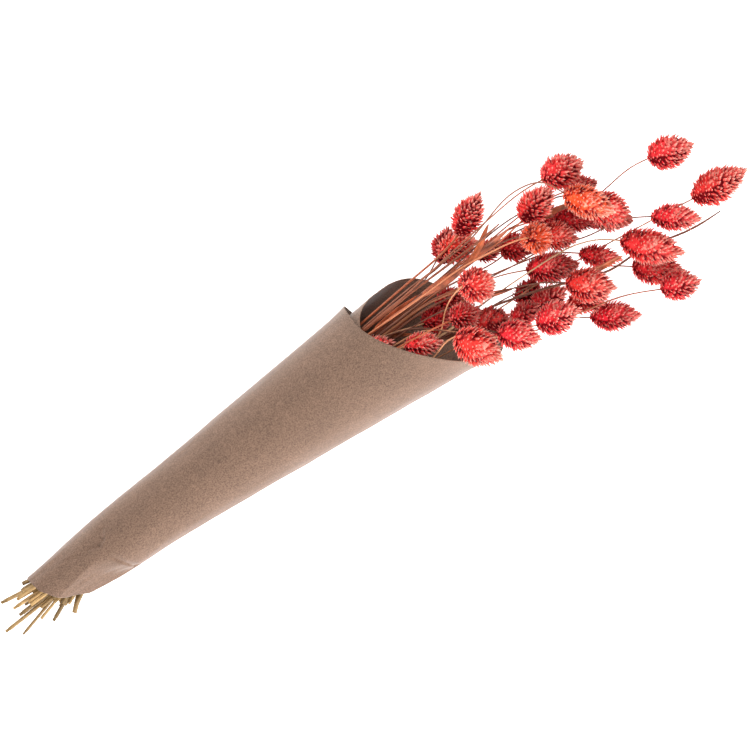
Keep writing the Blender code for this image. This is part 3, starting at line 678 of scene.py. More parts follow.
def dry_stem_material(settings):
    """Sun-dried grass culm: satin straw at the cut ends, browned by the dye bath towards the heads."""
    mat, tree, shader = new_material("dry_grass_culm")
    places = add_node(tree, "ShaderNodeTexCoord").outputs["Object"]
    x = add_node(tree, "ShaderNodeSeparateXYZ", {"Vector": places}).outputs["X"]
    tone = attribute(tree, "tone")
    browned = add_node(tree, "ShaderNodeMapRange", {
        "Value": x, "From Min": BROWNED_OVER[0] * MM, "From Max": BROWNED_OVER[1] * MM,
    })
    brown = add_node(tree, "ShaderNodeValToRGB", {"Fac": tone}, ramp=(
        (0.0, tuple(settings.grey)), (0.3, tuple(settings.brown)),
        (0.65, tuple(settings.leaf)), (1.0, tuple(settings.tan)),
    )).outputs["Color"]
    straw = tuple(settings.straw)
    straw = add_node(tree, "ShaderNodeValToRGB", {"Fac": tone}, ramp=(
        (0.0, tuple(0.4 * c for c in straw)), (0.3, tuple(0.7 * c for c in straw)), (1.0, straw),
    )).outputs["Color"]
    colour = mix_colours(tree, browned.outputs["Result"], straw, brown)
    fibres = add_node(tree, "ShaderNodeTexNoise", {
        "Vector": object_places(tree, (0.12, 1.0, 1.0)), "Scale": per_mm(0.7), "Detail": 3.0,
    }).outputs["Fac"]
    light = add_node(tree, "ShaderNodeMapRange", {
        "Value": fibres, **NOISE_SPAN, "To Min": 0.72, "To Max": 1.22,
    }).outputs["Result"]
    shade = attribute(tree, "shade")
    light = add_node(tree, "ShaderNodeMath", {0: light, 1: shade}, operation="MULTIPLY").outputs["Value"]
    colour = mix_colours(tree, 1.0, colour, light, "MULTIPLY")
    finish_surface(tree, shader, colour, fibres, 0.3, 0.1, {"Roughness": 0.48, "Specular IOR Level": 0.2})
    return mat


def dry_leaf_material(settings):
    """Dried leaf sheath: thin, ribbed lengthwise and blotched orange brown."""
    mat, tree, shader = new_material("dried_leaf")
    across = add_node(tree, "ShaderNodeTexCoord").outputs["UV"]
    placed = add_node(tree, "ShaderNodeMapping", {"Vector": across, "Scale": (16.0, 0.7, 1.0)})
    ribs = placed.outputs["Vector"]
    veins = add_node(tree, "ShaderNodeTexNoise", {"Vector": ribs, "Scale": 1.0, "Detail": 3.0}).outputs["Fac"]
    blotches = add_node(tree, "ShaderNodeTexNoise", {
        "Vector": object_places(tree), "Scale": per_mm(7.0), "Detail": 2.0,
    }).outputs["Fac"]
    leaf = tuple(settings.leaf)
    colour = add_node(tree, "ShaderNodeValToRGB", {"Fac": blotches}, ramp=(
        (0.30, tuple(0.45 * c for c in leaf)), (0.52, leaf), (0.72, tuple(min(1.5 * c, 1.0) for c in leaf)),
    )).outputs["Color"]
    light = add_node(tree, "ShaderNodeMapRange", {
        "Value": veins, **NOISE_SPAN, "To Min": 0.65, "To Max": 1.25,
    }).outputs["Result"]
    light = add_node(tree, "ShaderNodeMath", {0: light, 1: attribute(tree, "shade")}, operation="MULTIPLY")
    colour = mix_colours(tree, 1.0, colour, light.outputs["Value"], "MULTIPLY")
    finish_surface(tree, shader, colour, veins, 0.5, 0.2, {"Roughness": 0.5})
    return mat


def jute_material(settings):
    """Two-ply jute twine: hairy and matt, its colour mottled by fine noise."""
    mat, tree, shader = new_material("jute_twine")
    hairs = add_node(tree, "ShaderNodeTexNoise", {
        "Vector": object_places(tree), "Scale": per_mm(0.6), "Detail": 4.0,
    }).outputs["Fac"]
    jute = tuple(settings.jute)
    colour = add_node(tree, "ShaderNodeValToRGB", {"Fac": hairs}, ramp=(
        (0.35, tuple(0.5 * c for c in jute)), (0.6, jute),
    )).outputs["Color"]
    finish_surface(tree, shader, colour, hairs, 0.5, 0.2, {"Roughness": 0.9})
    return mat


def floor_material(settings):
    """Matt acrylic sheet, lit from below as a photographer's shadowless table is."""
    mat, tree, shader = new_material("matt_acrylic_floor")
    grain = add_node(tree, "ShaderNodeTexNoise", {"Vector": object_places(tree), "Scale": per_mm(2.0)})
    bump = add_node(tree, "ShaderNodeBump", {
        "Height": grain.outputs["Fac"], "Strength": 0.05, "Distance": MM,
    })
    tree.links.new(bump.outputs["Normal"], shader.inputs["Normal"])
    shader.inputs["Base Color"].default_value = (*settings.floor, 1.0)
    shader.inputs["Roughness"].default_value = 0.9
    shader.inputs["Emission Color"].default_value = (*settings.floor, 1.0)
    shader.inputs["Emission Strength"].default_value = settings.floor_glow
    return mat


def to_mesh(bm, name):
    """Turns the bmesh, in mm, into a smooth-shaded mesh in metres."""
    bmesh.ops.scale(bm, vec=(MM, MM, MM), verts=bm.verts)
    mesh = bpy.data.meshes.new(name)
    bm.to_mesh(mesh)
    bm.free()
    mesh.shade_smooth()
    return mesh


def add_piece(name, mesh, mat, nodes):
    """Puts a finished mesh in the scene, in place of the solids it stands for."""
    piece = bpy.data.objects.new(name, mesh)
    bpy.context.scene.collection.objects.link(piece)
    mesh.materials.append(mat)
    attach(piece, "root")
    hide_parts(*nodes)
    return piece


def set_attribute(mesh, name, values):
    layer = mesh.attributes.new(name, "FLOAT", "POINT")
    layer.data.foreach_set("value", np.asarray(values, np.float32))


def smooth(value, low, high):
    """0 up to the low value, 1 from the high one on, and a soft step between them."""
    t = min(max((value - low) / (high - low), 0.0), 1.0)
    return t * t * (3.0 - 2.0 * t)


def cone_radius(x):
    return CONE_RADIUS + CONE_TAPER * x + BULGE * math.exp(-(((x - BULGE_X) / BULGE_SPREAD) ** 2))


def cone_height(x):
    """Height of the cone's middle line over the floor, in mm."""
    return cone_radius(x) - FLAT_DEPTH


def cone_side(x):
    """The narrow end lies a little off the straight line."""
    return END_SIDE * (1.0 - smooth(x, *END_SIDE_OVER))


def slant(turn, lead):
    """1 at the lead turn, falling to -1 half a turn from it."""
    return math.cos(math.radians(min(max(turn, lead - 180.0), lead + 180.0) - lead))


def mouth_x(turn):
    """The mouth's slanted edge, whose free corner swings out a little."""
    lead = MOUTH_LEAD[0] + (MOUTH_LEAD[1] - MOUTH_LEAD[0]) * smooth(turn, *MOUTH_LEAD_OVER)
    swing = LIP_SWING * (max(turn - LIP_TURN, 0.0) / (TURN_TO - LIP_TURN)) ** 2
    return MOUTH_X + MOUTH_SLANT * slant(turn, lead) + swing


def end_x(turn):
    """The narrow end's cut, where the inner turn of the sheet stops short of the outer one."""
    return float(np.interp(turn, *END_EDGE))


def tuck(turn):
    """Share by which the inner turn of the sheet lies inside the outer one."""
    return TUCK * (1.0 - smooth(turn, *TUCK_OVER))


def crease_depth(x, y):
    """How far the creases press the sheet in at a place in the plan, each with a sharp fold on one side."""
    depth = 0.0
    for x1, y1, x2, y2, deep, wide, side in CREASES:
        run = Vector((x2 - x1, y2 - y1))
        away = Vector((x - x1, y - y1))
        along = away.dot(run) / run.length_squared
        across = side * (run.x * away.y - run.y * away.x) / run.length
        ends = smooth(along, *CREASE_ENDS[0]) * (1.0 - smooth(along, *CREASE_ENDS[1]))
        fold = smooth(across, *CREASE_EDGE) * math.exp(-((max(across, 0.0) / wide) ** 2))
        depth += deep * ends * fold
    return depth


def facet_depth(x, turn, radius):
    """How far the sheet is pressed in by the flat side past the fold."""
    past = FOLD_X + FOLD_SLOPE * (turn - 360.0) - x
    reach = FACET_REACH[0] - FACET_REACH[1] * (x - BULGE_X)
    lean = math.cos(math.radians(turn - FACET_TURN))
    pressed = max(radius - reach / lean, 0.0) if lean > FACET_LEAST else 0.0
    return pressed * smooth(past, 0.0, FOLD_RISE)


def paper_place(x, turn, share, settings):
    """Outside of the finished sheet at an x and a turn, given its share of the way from the narrow end."""
    radius = cone_radius(x) * (1.0 - tuck(turn))
    angle = math.radians(turn)
    out = Vector((0.0, -math.cos(angle), math.sin(angle)))
    side = cone_side(x) - radius * math.cos(angle)
    height = cone_height(x) + radius * math.sin(angle)
    free = smooth(height, *FREE_OVER)
    uneven = sum(
        part * noise.noise(Vector((x / along, turn / about, shift))) for along, about, shift, part in WAVES
    )
    rise = uneven * settings.crumple / MM
    curled = max(0.0, (share - CURL_FROM) / (1.0 - CURL_FROM)) ** 2
    rise += settings.curl / MM * curled * (1.0 if turn > TUCK_OVER[1] else INNER_CURL)
    if FACET_TURNS[0] < turn < FACET_TURNS[1]:
        rise -= facet_depth(x, turn, radius)
    if turn > 360.0 and math.sin(angle) > 0.0:
        rise -= crease_depth(x, side)
    return Vector((x, side, max(height, 0.0))) + out * (rise * free)


def make_paper(settings):
    """The sheet: a grid rolled round the cone, uneven, creased and curled at the lip, given its thickness."""
    bm = bmesh.new()
    bmesh.ops.create_grid(bm, x_segments=SHEET_FACES[0], y_segments=SHEET_FACES[1], size=0.5)
    rim = set()
    for vert in bm.verts:
        turn = TURN_FROM + (TURN_TO - TURN_FROM) * (vert.co.x + 0.5)
        share = float(np.interp(vert.co.y + 0.5, *ROW_SPACING))
        length = mouth_x(turn) - end_x(turn)
        if (1.0 - share) * length < LIP_WIDTH:
            rim.add(vert)
        vert.co = paper_place(end_x(turn) + length * share, turn, share, settings)
    # The lip's last strip takes the second material, a painted highlight along the lip.
    for face in bm.faces:
        if all(vert in rim for vert in face.verts):
            face.material_index = 1
    first = next(iter(bm.faces))
    middle = first.calc_center_median()
    first.normal_update()
    outward = middle - Vector((middle.x, cone_side(middle.x), cone_height(middle.x)))
    if first.normal.dot(outward) < 0.0:
        bmesh.ops.reverse_faces(bm, faces=bm.faces)
    mesh = to_mesh(bm, "kraft_wrap")
    paper = add_piece("kraft_wrap", mesh, kraft_paper_material(settings), ["paper_wrap"])
    skin = paper.modifiers.new("sheet thickness", "SOLIDIFY")
    skin.thickness = settings.thickness
    skin.offset = -1.0
    skin.use_even_offset = True
    paper.data.materials.append(edge_highlight_material(settings))
    skin.material_offset_rim = 1
    return paper


def direction_of(heading, lift):
    """The direction of a heading in the plan and an upward lean, both in degrees."""
    h, v = math.radians(heading), math.radians(lift)
    return Vector((math.cos(h) * math.cos(v), math.sin(h) * math.cos(v), math.sin(v)))


def body_spheres(head, centre_z):
    """Centres and radii of a chain of balls that fills a head, for keeping other pieces clear of it."""
    _, x, y, _, heading, lift, length, width = head
    aim = direction_of(heading, lift)
    centre = Vector((x, y, centre_z))
    places = [centre + aim * ((t - 0.5) * length) for t, _ in BODY_STATIONS]
    return np.array(places), np.array([f * width / 2 for _, f in BODY_STATIONS])


def settle_heads():
    """Height of each head once no two touch: a pair that does is parted, and the resting ones stay put."""
    heights = {head[0]: float(head[3]) for head in HEADS}
    for _ in range(SETTLE_ROUNDS):
        moved = False
        for i, one in enumerate(HEADS):
            p1, r1 = body_spheres(one, heights[one[0]])
            for two in HEADS[i + 1:]:
                if (one[1] - two[1]) ** 2 + (one[2] - two[2]) ** 2 > SETTLE_REACH ** 2:
                    continue
                p2, r2 = body_spheres(two, heights[two[0]])
                gap = np.linalg.norm(p1[:, None] - p2[None], axis=2) - r1[:, None] - r2[None]
                short = HEAD_GAP - gap.min()
                if short <= 0.0:
                    continue
                up = 1.0 if heights[one[0]] >= heights[two[0]] else -1.0
                step = max(SETTLE_STEP * short, LEAST_STEP)
                if one[0] not in RESTING_HEADS:
                    heights[one[0]] += up * step
                if two[0] not in RESTING_HEADS:
                    heights[two[0]] -= up * step
                moved = True
        for head in HEADS:
            lean = abs(math.sin(math.radians(head[5]))) * head[6] / 2
            floor = head[7] / 2 + LEAN_DROP * lean
            if head[0] not in RESTING_HEADS:
                heights[head[0]] = max(heights[head[0]], floor + TABLE_GAP)
        if not moved:
            break
    return heights


def scale_template():
    """One papery scale, a unit long and wide: thin, folded along a sharp keel, and drawn to a point."""
    sides, lengths = len(SCALE_SECTION), len(SCALE_WIDTHS) - 1
    bm = bmesh.new()
    bmesh.ops.create_uvsphere(bm, u_segments=sides, v_segments=lengths, radius=1.0)
    for vert in bm.verts:
        ring = round(math.acos(max(-1.0, min(1.0, -vert.co.z))) / math.pi * lengths)
        angle = math.degrees(math.atan2(vert.co.y, vert.co.x)) % 360.0
        across, rise = SCALE_SECTION[round(angle * sides / 360.0) % sides]
        along, wide = SCALE_STATIONS[ring], SCALE_WIDTHS[ring]
        vert.co = Vector((0.5 * wide * across, 0.5 * wide * rise - SCALE_BOW * along * along, along))
    bmesh.ops.recalc_face_normals(bm, faces=bm.faces)
    mesh = bpy.data.meshes.new("scale")
    bm.to_mesh(mesh)
    bm.free()
    return mesh


def stamp(bm, template, matrix):
    """Adds a copy of the template, moved by the matrix."""
    copy = template.copy()
    copy.transform(matrix)
    bm.from_mesh(copy)
    bpy.data.meshes.remove(copy)


def envelope(share, length, width):
    """Place of the scale tips at a share of the way along a head: distance from the axis, and along it."""
    round_off = OUTLINE_ROUND[0] + OUTLINE_ROUND[1] * share
    radius = 0.5 * width * max(math.sin(math.pi * min(share, 1.0) ** OUTLINE_SKEW), 0.0) ** round_off
    return radius, (share - 0.5) * length


def spread_shares(count, length, width):
    """Shares along a head at which scale tips, one each, cover its surface evenly, and that surface."""
    steps = np.linspace(0.0, 1.0, 81)
    ring = [envelope(s, length, width) for s in steps]
    area = [0.0]
    for (r1, z1), (r2, z2) in zip(ring, ring[1:]):
        area.append(area[-1] + (r1 + r2) * math.hypot(r2 - r1, z2 - z1))
    return np.interp((np.arange(count) + 0.5) / count * area[-1], area, steps), math.pi * area[-1]


def grown(share, at_base, full_at):
    """Size of a scale against the full-grown ones, at a share of the way along its head."""
    return at_base + (1.0 - at_base) * smooth(share, 0.0, full_at)


def make_head(head, height, template, mat, settings, rng):
    """A head: scales set in a spiral on a core, their tips on the egg-shaped outline."""
    name, x, y, _, heading, lift, length, width = head
    length, width = settings.growth * length, settings.growth * width
    per_scale = len(template.vertices)
    points = np.empty(per_scale * 3, np.float32)
    template.vertices.foreach_get("co", points)
    sideways, _, along_of = points.reshape(-1, 3).T
    keel_of = np.clip(1.0 - np.abs(sideways) / KEEL_WIDTH, 0.0, 1.0)
    bm = bmesh.new()
    bmesh.ops.create_uvsphere(bm, u_segments=CORE_FACES[0], v_segments=CORE_FACES[1], radius=1.0)
    core = (0.5 * width - CORE_DEPTH, 0.5 * width - CORE_DEPTH, CORE_LENGTH * length)
    bmesh.ops.scale(bm, vec=core, verts=bm.verts)
    bmesh.ops.translate(bm, vec=(0.0, 0.0, -CORE_BACK * length), verts=bm.verts)
    core_points = len(bm.verts)
    _, surface = spread_shares(2, length, width)
    count = round(surface / settings.scale_area)
    shares, _ = spread_shares(count, length, width)
    shades = rng.uniform(*SHADE_RANGE, count)
    for n, share in enumerate(shares):
        share = min(max(share + rng.normal(0.0, PLACE_SPREAD), SHARE_LIMIT), 1.0 - SHARE_LIMIT)
        radius, z = envelope(share, length, width)
        radius *= rng.uniform(*TIP_RANGE)
        lean = math.radians(LEAN_BASE - LEAN_FALL * share ** LEAN_POWER + rng.normal(0.0, LEAN_SPREAD))
        around = n * GOLDEN_TURN + rng.normal(0.0, AROUND_SPREAD)
        out = Vector((math.cos(around), math.sin(around), 0.0))
        aim = out * math.sin(lean) + Vector((0.0, 0.0, math.cos(lean)))
        back = out * math.cos(lean) - Vector((0.0, 0.0, math.sin(lean)))
        across = back.cross(aim)
        reach = settings.scale_length / MM * grown(share, *BASE_LENGTH) * rng.uniform(*LENGTH_RANGE)
        wide = settings.scale_width / MM * grown(share, *BASE_WIDTH) * rng.uniform(*WIDTH_RANGE)
        root = out * radius + Vector((0.0, 0.0, z)) - aim * (reach * rng.uniform(*ROOT_RANGE))
        turn = Matrix.Rotation(rng.normal(0.0, TWIST_SPREAD), 4, aim)
        axes = Matrix((across * wide, back * wide, aim * reach)).transposed().to_4x4()
        stamp(bm, template, Matrix.Translation(root) @ turn @ axes)
    turn = Vector((0.0, 0.0, 1.0)).rotation_difference(direction_of(heading, lift)).to_matrix().to_4x4()
    bm.transform(Matrix.Translation((x, y, height)) @ turn)
    for vert in bm.verts:
        vert.co.z = max(vert.co.z, FLOOR_GAP)
    mesh = to_mesh(bm, "dyed_" + name)
    # The core takes the shadow colour and the darker CORE_SHADE: painted shade deep inside the head.
    for key, on_core, on_scales in (
        ("along", 0.0, np.tile(along_of, count)),
        ("keel", 0.0, np.tile(keel_of, count)),
        ("place", 0.0, np.repeat(shares, per_scale)),
        ("shade", CORE_SHADE, np.repeat(shades, per_scale)),
    ):
        set_attribute(mesh, key, np.concatenate([np.full(core_points, on_core), on_scales]))
    for key, value in zip(("depth", "warmth"), DYE_AND_SHADE[name]):
        set_attribute(mesh, key, np.full(len(mesh.vertices), value))
    return add_piece("dyed_" + name, mesh, mat, [name])


def tie_slots(count):
    """Places of the stems in the tie, packed from the middle outward, as (y, z) from the tie's centre."""
    found = []
    for row in range(-SLOT_REACH, SLOT_REACH + 1):
        for column in range(-SLOT_REACH, SLOT_REACH + 1):
            y = (column + 0.5 * (row % 2)) * SLOT_PITCH
            z = row * SLOT_PITCH * math.sqrt(3) / 2
            found.append((round(math.hypot(y, z), 4), round(math.atan2(z, y), 4), y, z))
    found.sort()
    return [(y, z) for _, _, y, z in found[:count]]


def tie_centre_height(slots):
    """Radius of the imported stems, and the height of their middle with the tie just clear of the paper."""
    outer = max(math.hypot(y, z) for y, z in slots) + TIE_RADIUS
    return outer, SOLID_THICKNESS + CLEAR + TIE_GAUGE + CLEAR + outer + TIE_SLACK


def paper_limit(x, y, z, margin):
    """How far out from the cone's middle a stem may lie, or None beyond the paper's ends."""
    turn = math.degrees(math.atan2(z - cone_height(x), cone_side(x) - y)) % 360.0
    sheets = [t for t in (turn, turn + 360.0) if TURN_FROM - HIDDEN_EDGE <= t <= TURN_TO]
    held = [t for t in sheets if end_x(t) - margin < x < mouth_x(t) + margin]
    if not held:
        return None
    return min(cone_radius(x) * (1.0 - tuck(t)) for t in held) - SOLID_THICKNESS


def bezier(a, b, c, d, count):
    """Points of the curve from a to d that b and c draw it towards."""
    t = np.linspace(0.0, 1.0, count)[:, None]
    a, b, c, d = (np.array(p, float) for p in (a, b, c, d))
    return a * (1 - t) ** 3 + 3 * b * t * (1 - t) ** 2 + 3 * c * t * t * (1 - t) + d * t ** 3


def smooth_way(nodes, first, last, count):
    """A smooth curve through the nodes that leaves and arrives in the given directions."""
    nodes = [np.array(node, float) for node in nodes]
    slopes = [np.array(first, float)]
    for before, after in zip(nodes, nodes[2:]):
        slopes.append((after - before) / np.linalg.norm(after - before))
    slopes.append(np.array(last, float))
    spans = [np.linalg.norm(b - a) for a, b in zip(nodes, nodes[1:])]
    way = []
    for n, span in enumerate(spans):
        share = max(3, round(count * span / sum(spans)))
        handle = CURVE_HANDLE * span
        one, two = nodes[n] + slopes[n] * handle, nodes[n + 1] - slopes[n + 1] * handle
        piece = bezier(nodes[n], one, two, nodes[n + 1], share + 1)
        way.append(piece if n == 0 else piece[1:])
    return np.concatenate(way)


def inside_paper(x, y, z, radius, margin):
    """The nearest place across the bunch where a stem clears the paper, or past its ends the table."""
    limit = paper_limit(x, y, z, margin)
    if limit is None:
        return x, y, max(z, radius + TABLE_BERTH)
    z = max(z, SOLID_THICKNESS + radius + TABLE_BERTH)
    side, rise = y - cone_side(x), z - cone_height(x)
    room = min(1.0, (limit - radius - PAPER_BERTH) / math.hypot(side, rise))
    return x, cone_side(x) + side * room, cone_height(x) + rise * room


def ease_clear(path, radius, balls, own, margin, pins=()):
    """Smooths a stem's way while it is pushed off the paper, the table and every head, its ends held."""
    held = {int(np.linalg.norm(path - np.array(pin, float), axis=1).argmin()): pin for pin in pins}
    centres, radii, names = balls
    berth = radii + radius + STEM_BERTH
    berth[names == own] -= OWN_HEAD_EASE
    for _ in range(ROUTE_ROUNDS):
        smoothed = 0.25 * path[1:-4] + 0.5 * path[2:-3] + 0.25 * path[3:-2]
        middle = path[2:-3] + ROUTE_STIFFNESS * (smoothed - path[2:-3])
        away = middle[:, None] - centres[None]
        far = np.linalg.norm(away, axis=2)
        short = berth[None] - far
        worst = short.argmax(axis=1)
        rows = np.arange(len(middle))
        push = away[rows, worst] / np.maximum(far[rows, worst], 0.001)[:, None]
        push[:, 0] *= ALONG_PUSH
        middle += push * np.clip(short[rows, worst], 0.0, LARGEST_PUSH)[:, None]
        for k, point in enumerate(middle):
            middle[k] = inside_paper(*point, radius, margin)
        path[2:-3] = middle
        for k, pin in held.items():
            path[k] = pin
    return path


def route(slot, centre_z, neck, aim, radius, balls, own):
    """A stem's way from the tie to its head's neck, by way of its arch or, past the mouth, of the throat."""
    start = Vector((TIE_X + TIE_WIDTH / 2 + 1.0, slot[0], centre_z + slot[1]))
    pins = ARCHES.get(own, ())
    if pins:
        path = smooth_way([start, *pins, neck], (1.0, 0.0, 0.0), aim, ROUTE_POINTS)
    elif neck.x > THROAT_X + THROAT_REACH:
        side = THROAT_SIDE[0] + THROAT_SIDE[1] * neck.y
        height = THROAT_HEIGHT[0] + THROAT_HEIGHT[1] * neck.z
        path = smooth_way([start, (THROAT_X, side, height), neck], (1.0, 0.0, 0.0), aim, ROUTE_POINTS)
    else:
        reach = (neck - start).length
        ease = min(max(NECK_REACH * reach, NECK_REACH_RANGE[0]), NECK_REACH_RANGE[1])
        ahead = start + Vector((START_REACH * reach, 0.0, 0.0))
        path = bezier(start, ahead, neck - aim * ease, neck, ROUTE_POINTS)
    return ease_clear(path, radius, balls, own, MOUTH_MARGIN, pins)


def tail_route(slot, centre_z, tip, radius, balls):
    """A stem's way from its cut end to the tie."""
    near = Vector((TIE_X - TIE_WIDTH / 2 - 1.0, slot[0], centre_z + slot[1]))
    back = near - Vector((TAIL_REACH, 0.0, 0.0))
    path = bezier(near, back, tip.lerp(near, TAIL_MIDDLE), tip, ROUTE_POINTS)
    return ease_clear(path, radius, balls, "", END_MARGIN)[::-1]


def cut_tips(count, rng):
    """Where the stems are cut: the tips that show, and the short ones behind and under them."""
    tips = [Vector(tip) for tip in CUT_TIPS]
    while len(tips) < count:
        y = rng.uniform(*SHORT_TIPS_Y)
        x = np.interp(y, *END_OUTLINE) - rng.uniform(*SHORT_TIPS_PAST)
        tips.append(Vector((x, y, rng.uniform(*SHORT_TIPS_Z))))
    return tips[:count]


def match_slots(slots, necks):
    """Gives each neck the slot that lies its way, so that the stems fan out with few crossings."""
    aims = [math.atan2(neck.z - FAN_MIDDLE_Z, neck.y - FAN_MIDDLE_Y) for neck in necks]
    by_angle = sorted(slots, key=lambda slot: math.atan2(slot[1], slot[0]))
    chosen = [None] * len(necks)
    for neck, slot in zip(sorted(range(len(necks)), key=aims.__getitem__), by_angle):
        chosen[neck] = slot
    return chosen


def match_tips(slots, tips):
    """Gives each slot a cut tip on the same side."""
    left = list(tips)
    chosen = []
    for y, z in slots:
        best = min(left, key=lambda tip: (
            abs(tip.y / TIP_FAN_Y - y) + TIP_HEIGHT_WEIGHT * abs((tip.z - TIP_MIDDLE_Z) / TIP_FAN_Z - z)
        ))
        left.remove(best)
        chosen.append(best)
    return chosen


def head_balls(heights):
    """The chains of balls of all the heads, and the name of the head that each ball fills."""
    chains = [body_spheres(head, heights[head[0]]) for head in HEADS]
    centres = np.concatenate([c for c, _ in chains])
    radii = np.concatenate([r for _, r in chains])
    return centres, radii, np.repeat([head[0] for head in HEADS], len(BODY_STATIONS))


def stem_lines(heights, balls, rng):
    """Name, tail and way of every stem."""
    ends = []
    for name, x, y, _, heading, lift, length, _ in HEADS:
        aim = direction_of(heading, lift)
        neck = Vector((x, y, heights[name])) - aim * (0.5 * (length - SCALE_RISE) + CLEAR)
        ends.append((name, neck, aim))
    for n, (x, y, z, heading, lift) in enumerate(BARE_STALKS):
        ends.append((f"bare_{n}", Vector((x, y, z)), direction_of(heading, lift)))
    slots = tie_slots(len(ends))
    _, centre_z = tie_centre_height(slots)
    slots = match_slots(slots, [neck for _, neck, _ in ends])
    tips = match_tips(slots, cut_tips(len(slots), rng))
    lines = []
    for (name, neck, aim), slot, tip in zip(ends, slots, tips):
        path = route(slot, centre_z, neck, aim, TIE_RADIUS, balls, name)
        tail = tail_route(slot, centre_z, tip, CUT_RADIUS, balls)
        lines.append((name, tail, path))
    return lines


def evenly(points, spacing):
    """The same way with points this many mm apart, rounded off between the ones given."""
    points = np.array([p for k, p in enumerate(points) if k == 0 or np.linalg.norm(p - points[k - 1]) > 0.01])
    reach = np.concatenate([[0.0], np.cumsum(np.linalg.norm(np.diff(points, axis=0), axis=1))])
    count = max(4, round(reach[-1] / spacing) + 1)
    places = np.linspace(0.0, reach[-1], count)
    way = np.column_stack([np.interp(places, reach, points[:, k]) for k in range(3)])
    for _ in range(6):
        way[1:-1] = 0.25 * way[:-2] + 0.5 * way[1:-1] + 0.25 * way[2:]
    return way


def carried_axes(way):
    """Directions sideways and up at each point of a way, carried along it without twisting."""
    ahead = np.gradient(way, axis=0)
    ahead /= np.linalg.norm(ahead, axis=1)[:, None]
    side = np.cross((0.0, 0.0, 1.0), ahead[0])
    side /= np.linalg.norm(side)
    sides = []
    for one in ahead:
        side = side - one * side.dot(one)
        side /= np.linalg.norm(side)
        sides.append(side)
    sides = np.array(sides)
    return sides, np.cross(ahead, sides)


def sweep(way, widths, sides):
    """A closed body along the way: a cylinder cut into as many lengths as the way has, then bent along it."""
    lengths = len(way) - 1
    across, up = carried_axes(way)
    bm = bmesh.new()
    bmesh.ops.create_cone(bm, cap_ends=True, segments=sides, radius1=1.0, radius2=1.0, depth=1.0)
    long_edges = [edge for edge in bm.edges if abs(edge.verts[0].co.z - edge.verts[1].co.z) > 0.5]
    bmesh.ops.subdivide_edges(bm, edges=long_edges, cuts=lengths - 1, use_grid_fill=True)
    for vert in bm.verts:
        k = round((vert.co.z + 0.5) * lengths)
        vert.co = Vector(way[k] + across[k] * (vert.co.x * widths[k]) + up[k] * (vert.co.y * widths[k]))
    bmesh.ops.recalc_face_normals(bm, faces=bm.faces)
    return bm


def hollow_end(bm, tip, wall, depth):
    """Presses the flat end that lies at the tip inward, as the bore of a cut straw."""
    caps = [face for face in bm.faces if len(face.verts) > 4]
    cap = min(caps, key=lambda face: (face.calc_center_median() - tip).length)
    inward = -cap.normal * depth
    bmesh.ops.inset_region(bm, faces=[cap], thickness=wall, use_even_offset=True)
    bored = bmesh.ops.extrude_face_region(bm, geom=[cap])
    rim = [item for item in bored["geom"] if isinstance(item, bmesh.types.BMVert)]
    bmesh.ops.delete(bm, geom=[cap], context="FACES_ONLY")
    bmesh.ops.translate(bm, vec=inward, verts=rim)


def stem_widths(name, way, neck_radius, rng):
    """Radius along a stem: stout at the cut end, wrapped in its sheath as far as a step, slim at the neck."""
    x = way[:, 0]
    reach = np.linspace(0.0, 1.0, len(way))
    stout = rng.uniform(*STOUT_RANGE)
    widths = stout + (neck_radius - stout) * np.clip((reach - NARROWING[0]) / NARROWING[1], 0.0, 1.0)
    sheath_end = rng.uniform(*SHEATH_ENDS)
    wrapped = 1.0 / (1.0 + np.exp((x - sheath_end) / SHEATH_STEP))
    begun = np.clip((x - SHEATH_START[0]) / SHEATH_START[1], 0.0, 1.0)
    widths += rng.uniform(*SHEATH_EXTRA) * wrapped * begun
    for knot in rng.uniform(*KNOT_RANGE, KNOTS):
        widths *= 1.0 + KNOT_SWELL * np.exp(-(((reach - knot) * len(way) / KNOT_LENGTH) ** 2))
    if name in SLIM:
        slimmed = np.clip((x - SLIM_OVER[0]) / (SLIM_OVER[1] - SLIM_OVER[0]), 0.0, 1.0)
        widths += (neck_radius - widths) * slimmed
    if name.startswith("bare"):
        widths *= np.interp(reach, *BARE_SHAPE)
    return widths


def gather(bodies, name, values):
    """Joins bodies in one mesh, each with its own value of every named attribute."""
    whole = bmesh.new()
    counts = []
    for bm in bodies:
        mesh = bpy.data.meshes.new("part")
        bm.to_mesh(mesh)
        counts.append(len(mesh.vertices))
        whole.from_mesh(mesh)
        bm.free()
        bpy.data.meshes.remove(mesh)
    mesh = to_mesh(whole, name)
    for key, each in values.items():
        set_attribute(mesh, key, np.repeat(each, counts))
    return mesh


def make_stems(lines, settings):
    """All the stems as round, knotted straws with bored cut ends."""
    rng = np.random.default_rng(SEED + 1)
    bodies = []
    for name, tail, path in lines:
        way = evenly(np.concatenate([tail, path]), STEM_SPACING)
        bm = sweep(way, stem_widths(name, way, settings.neck_radius / MM, rng), settings.sides)
        hollow_end(bm, Vector(way[0]), BORE_WALL, BORE_DEPTH)
        bodies.append(bm)
    tones = [TONES.get(name, rng.uniform(0.0, 1.0)) for name, _, _ in lines]
    shades = [SHADES.get(name) or rng.uniform(*STEM_SHADE_RANGE) for name, _, _ in lines]
    mesh = gather(bodies, "dry_stems", {"tone": tones, "shade": shades})
    return add_piece("dry_stems", mesh, dry_stem_material(settings), ["stems"])


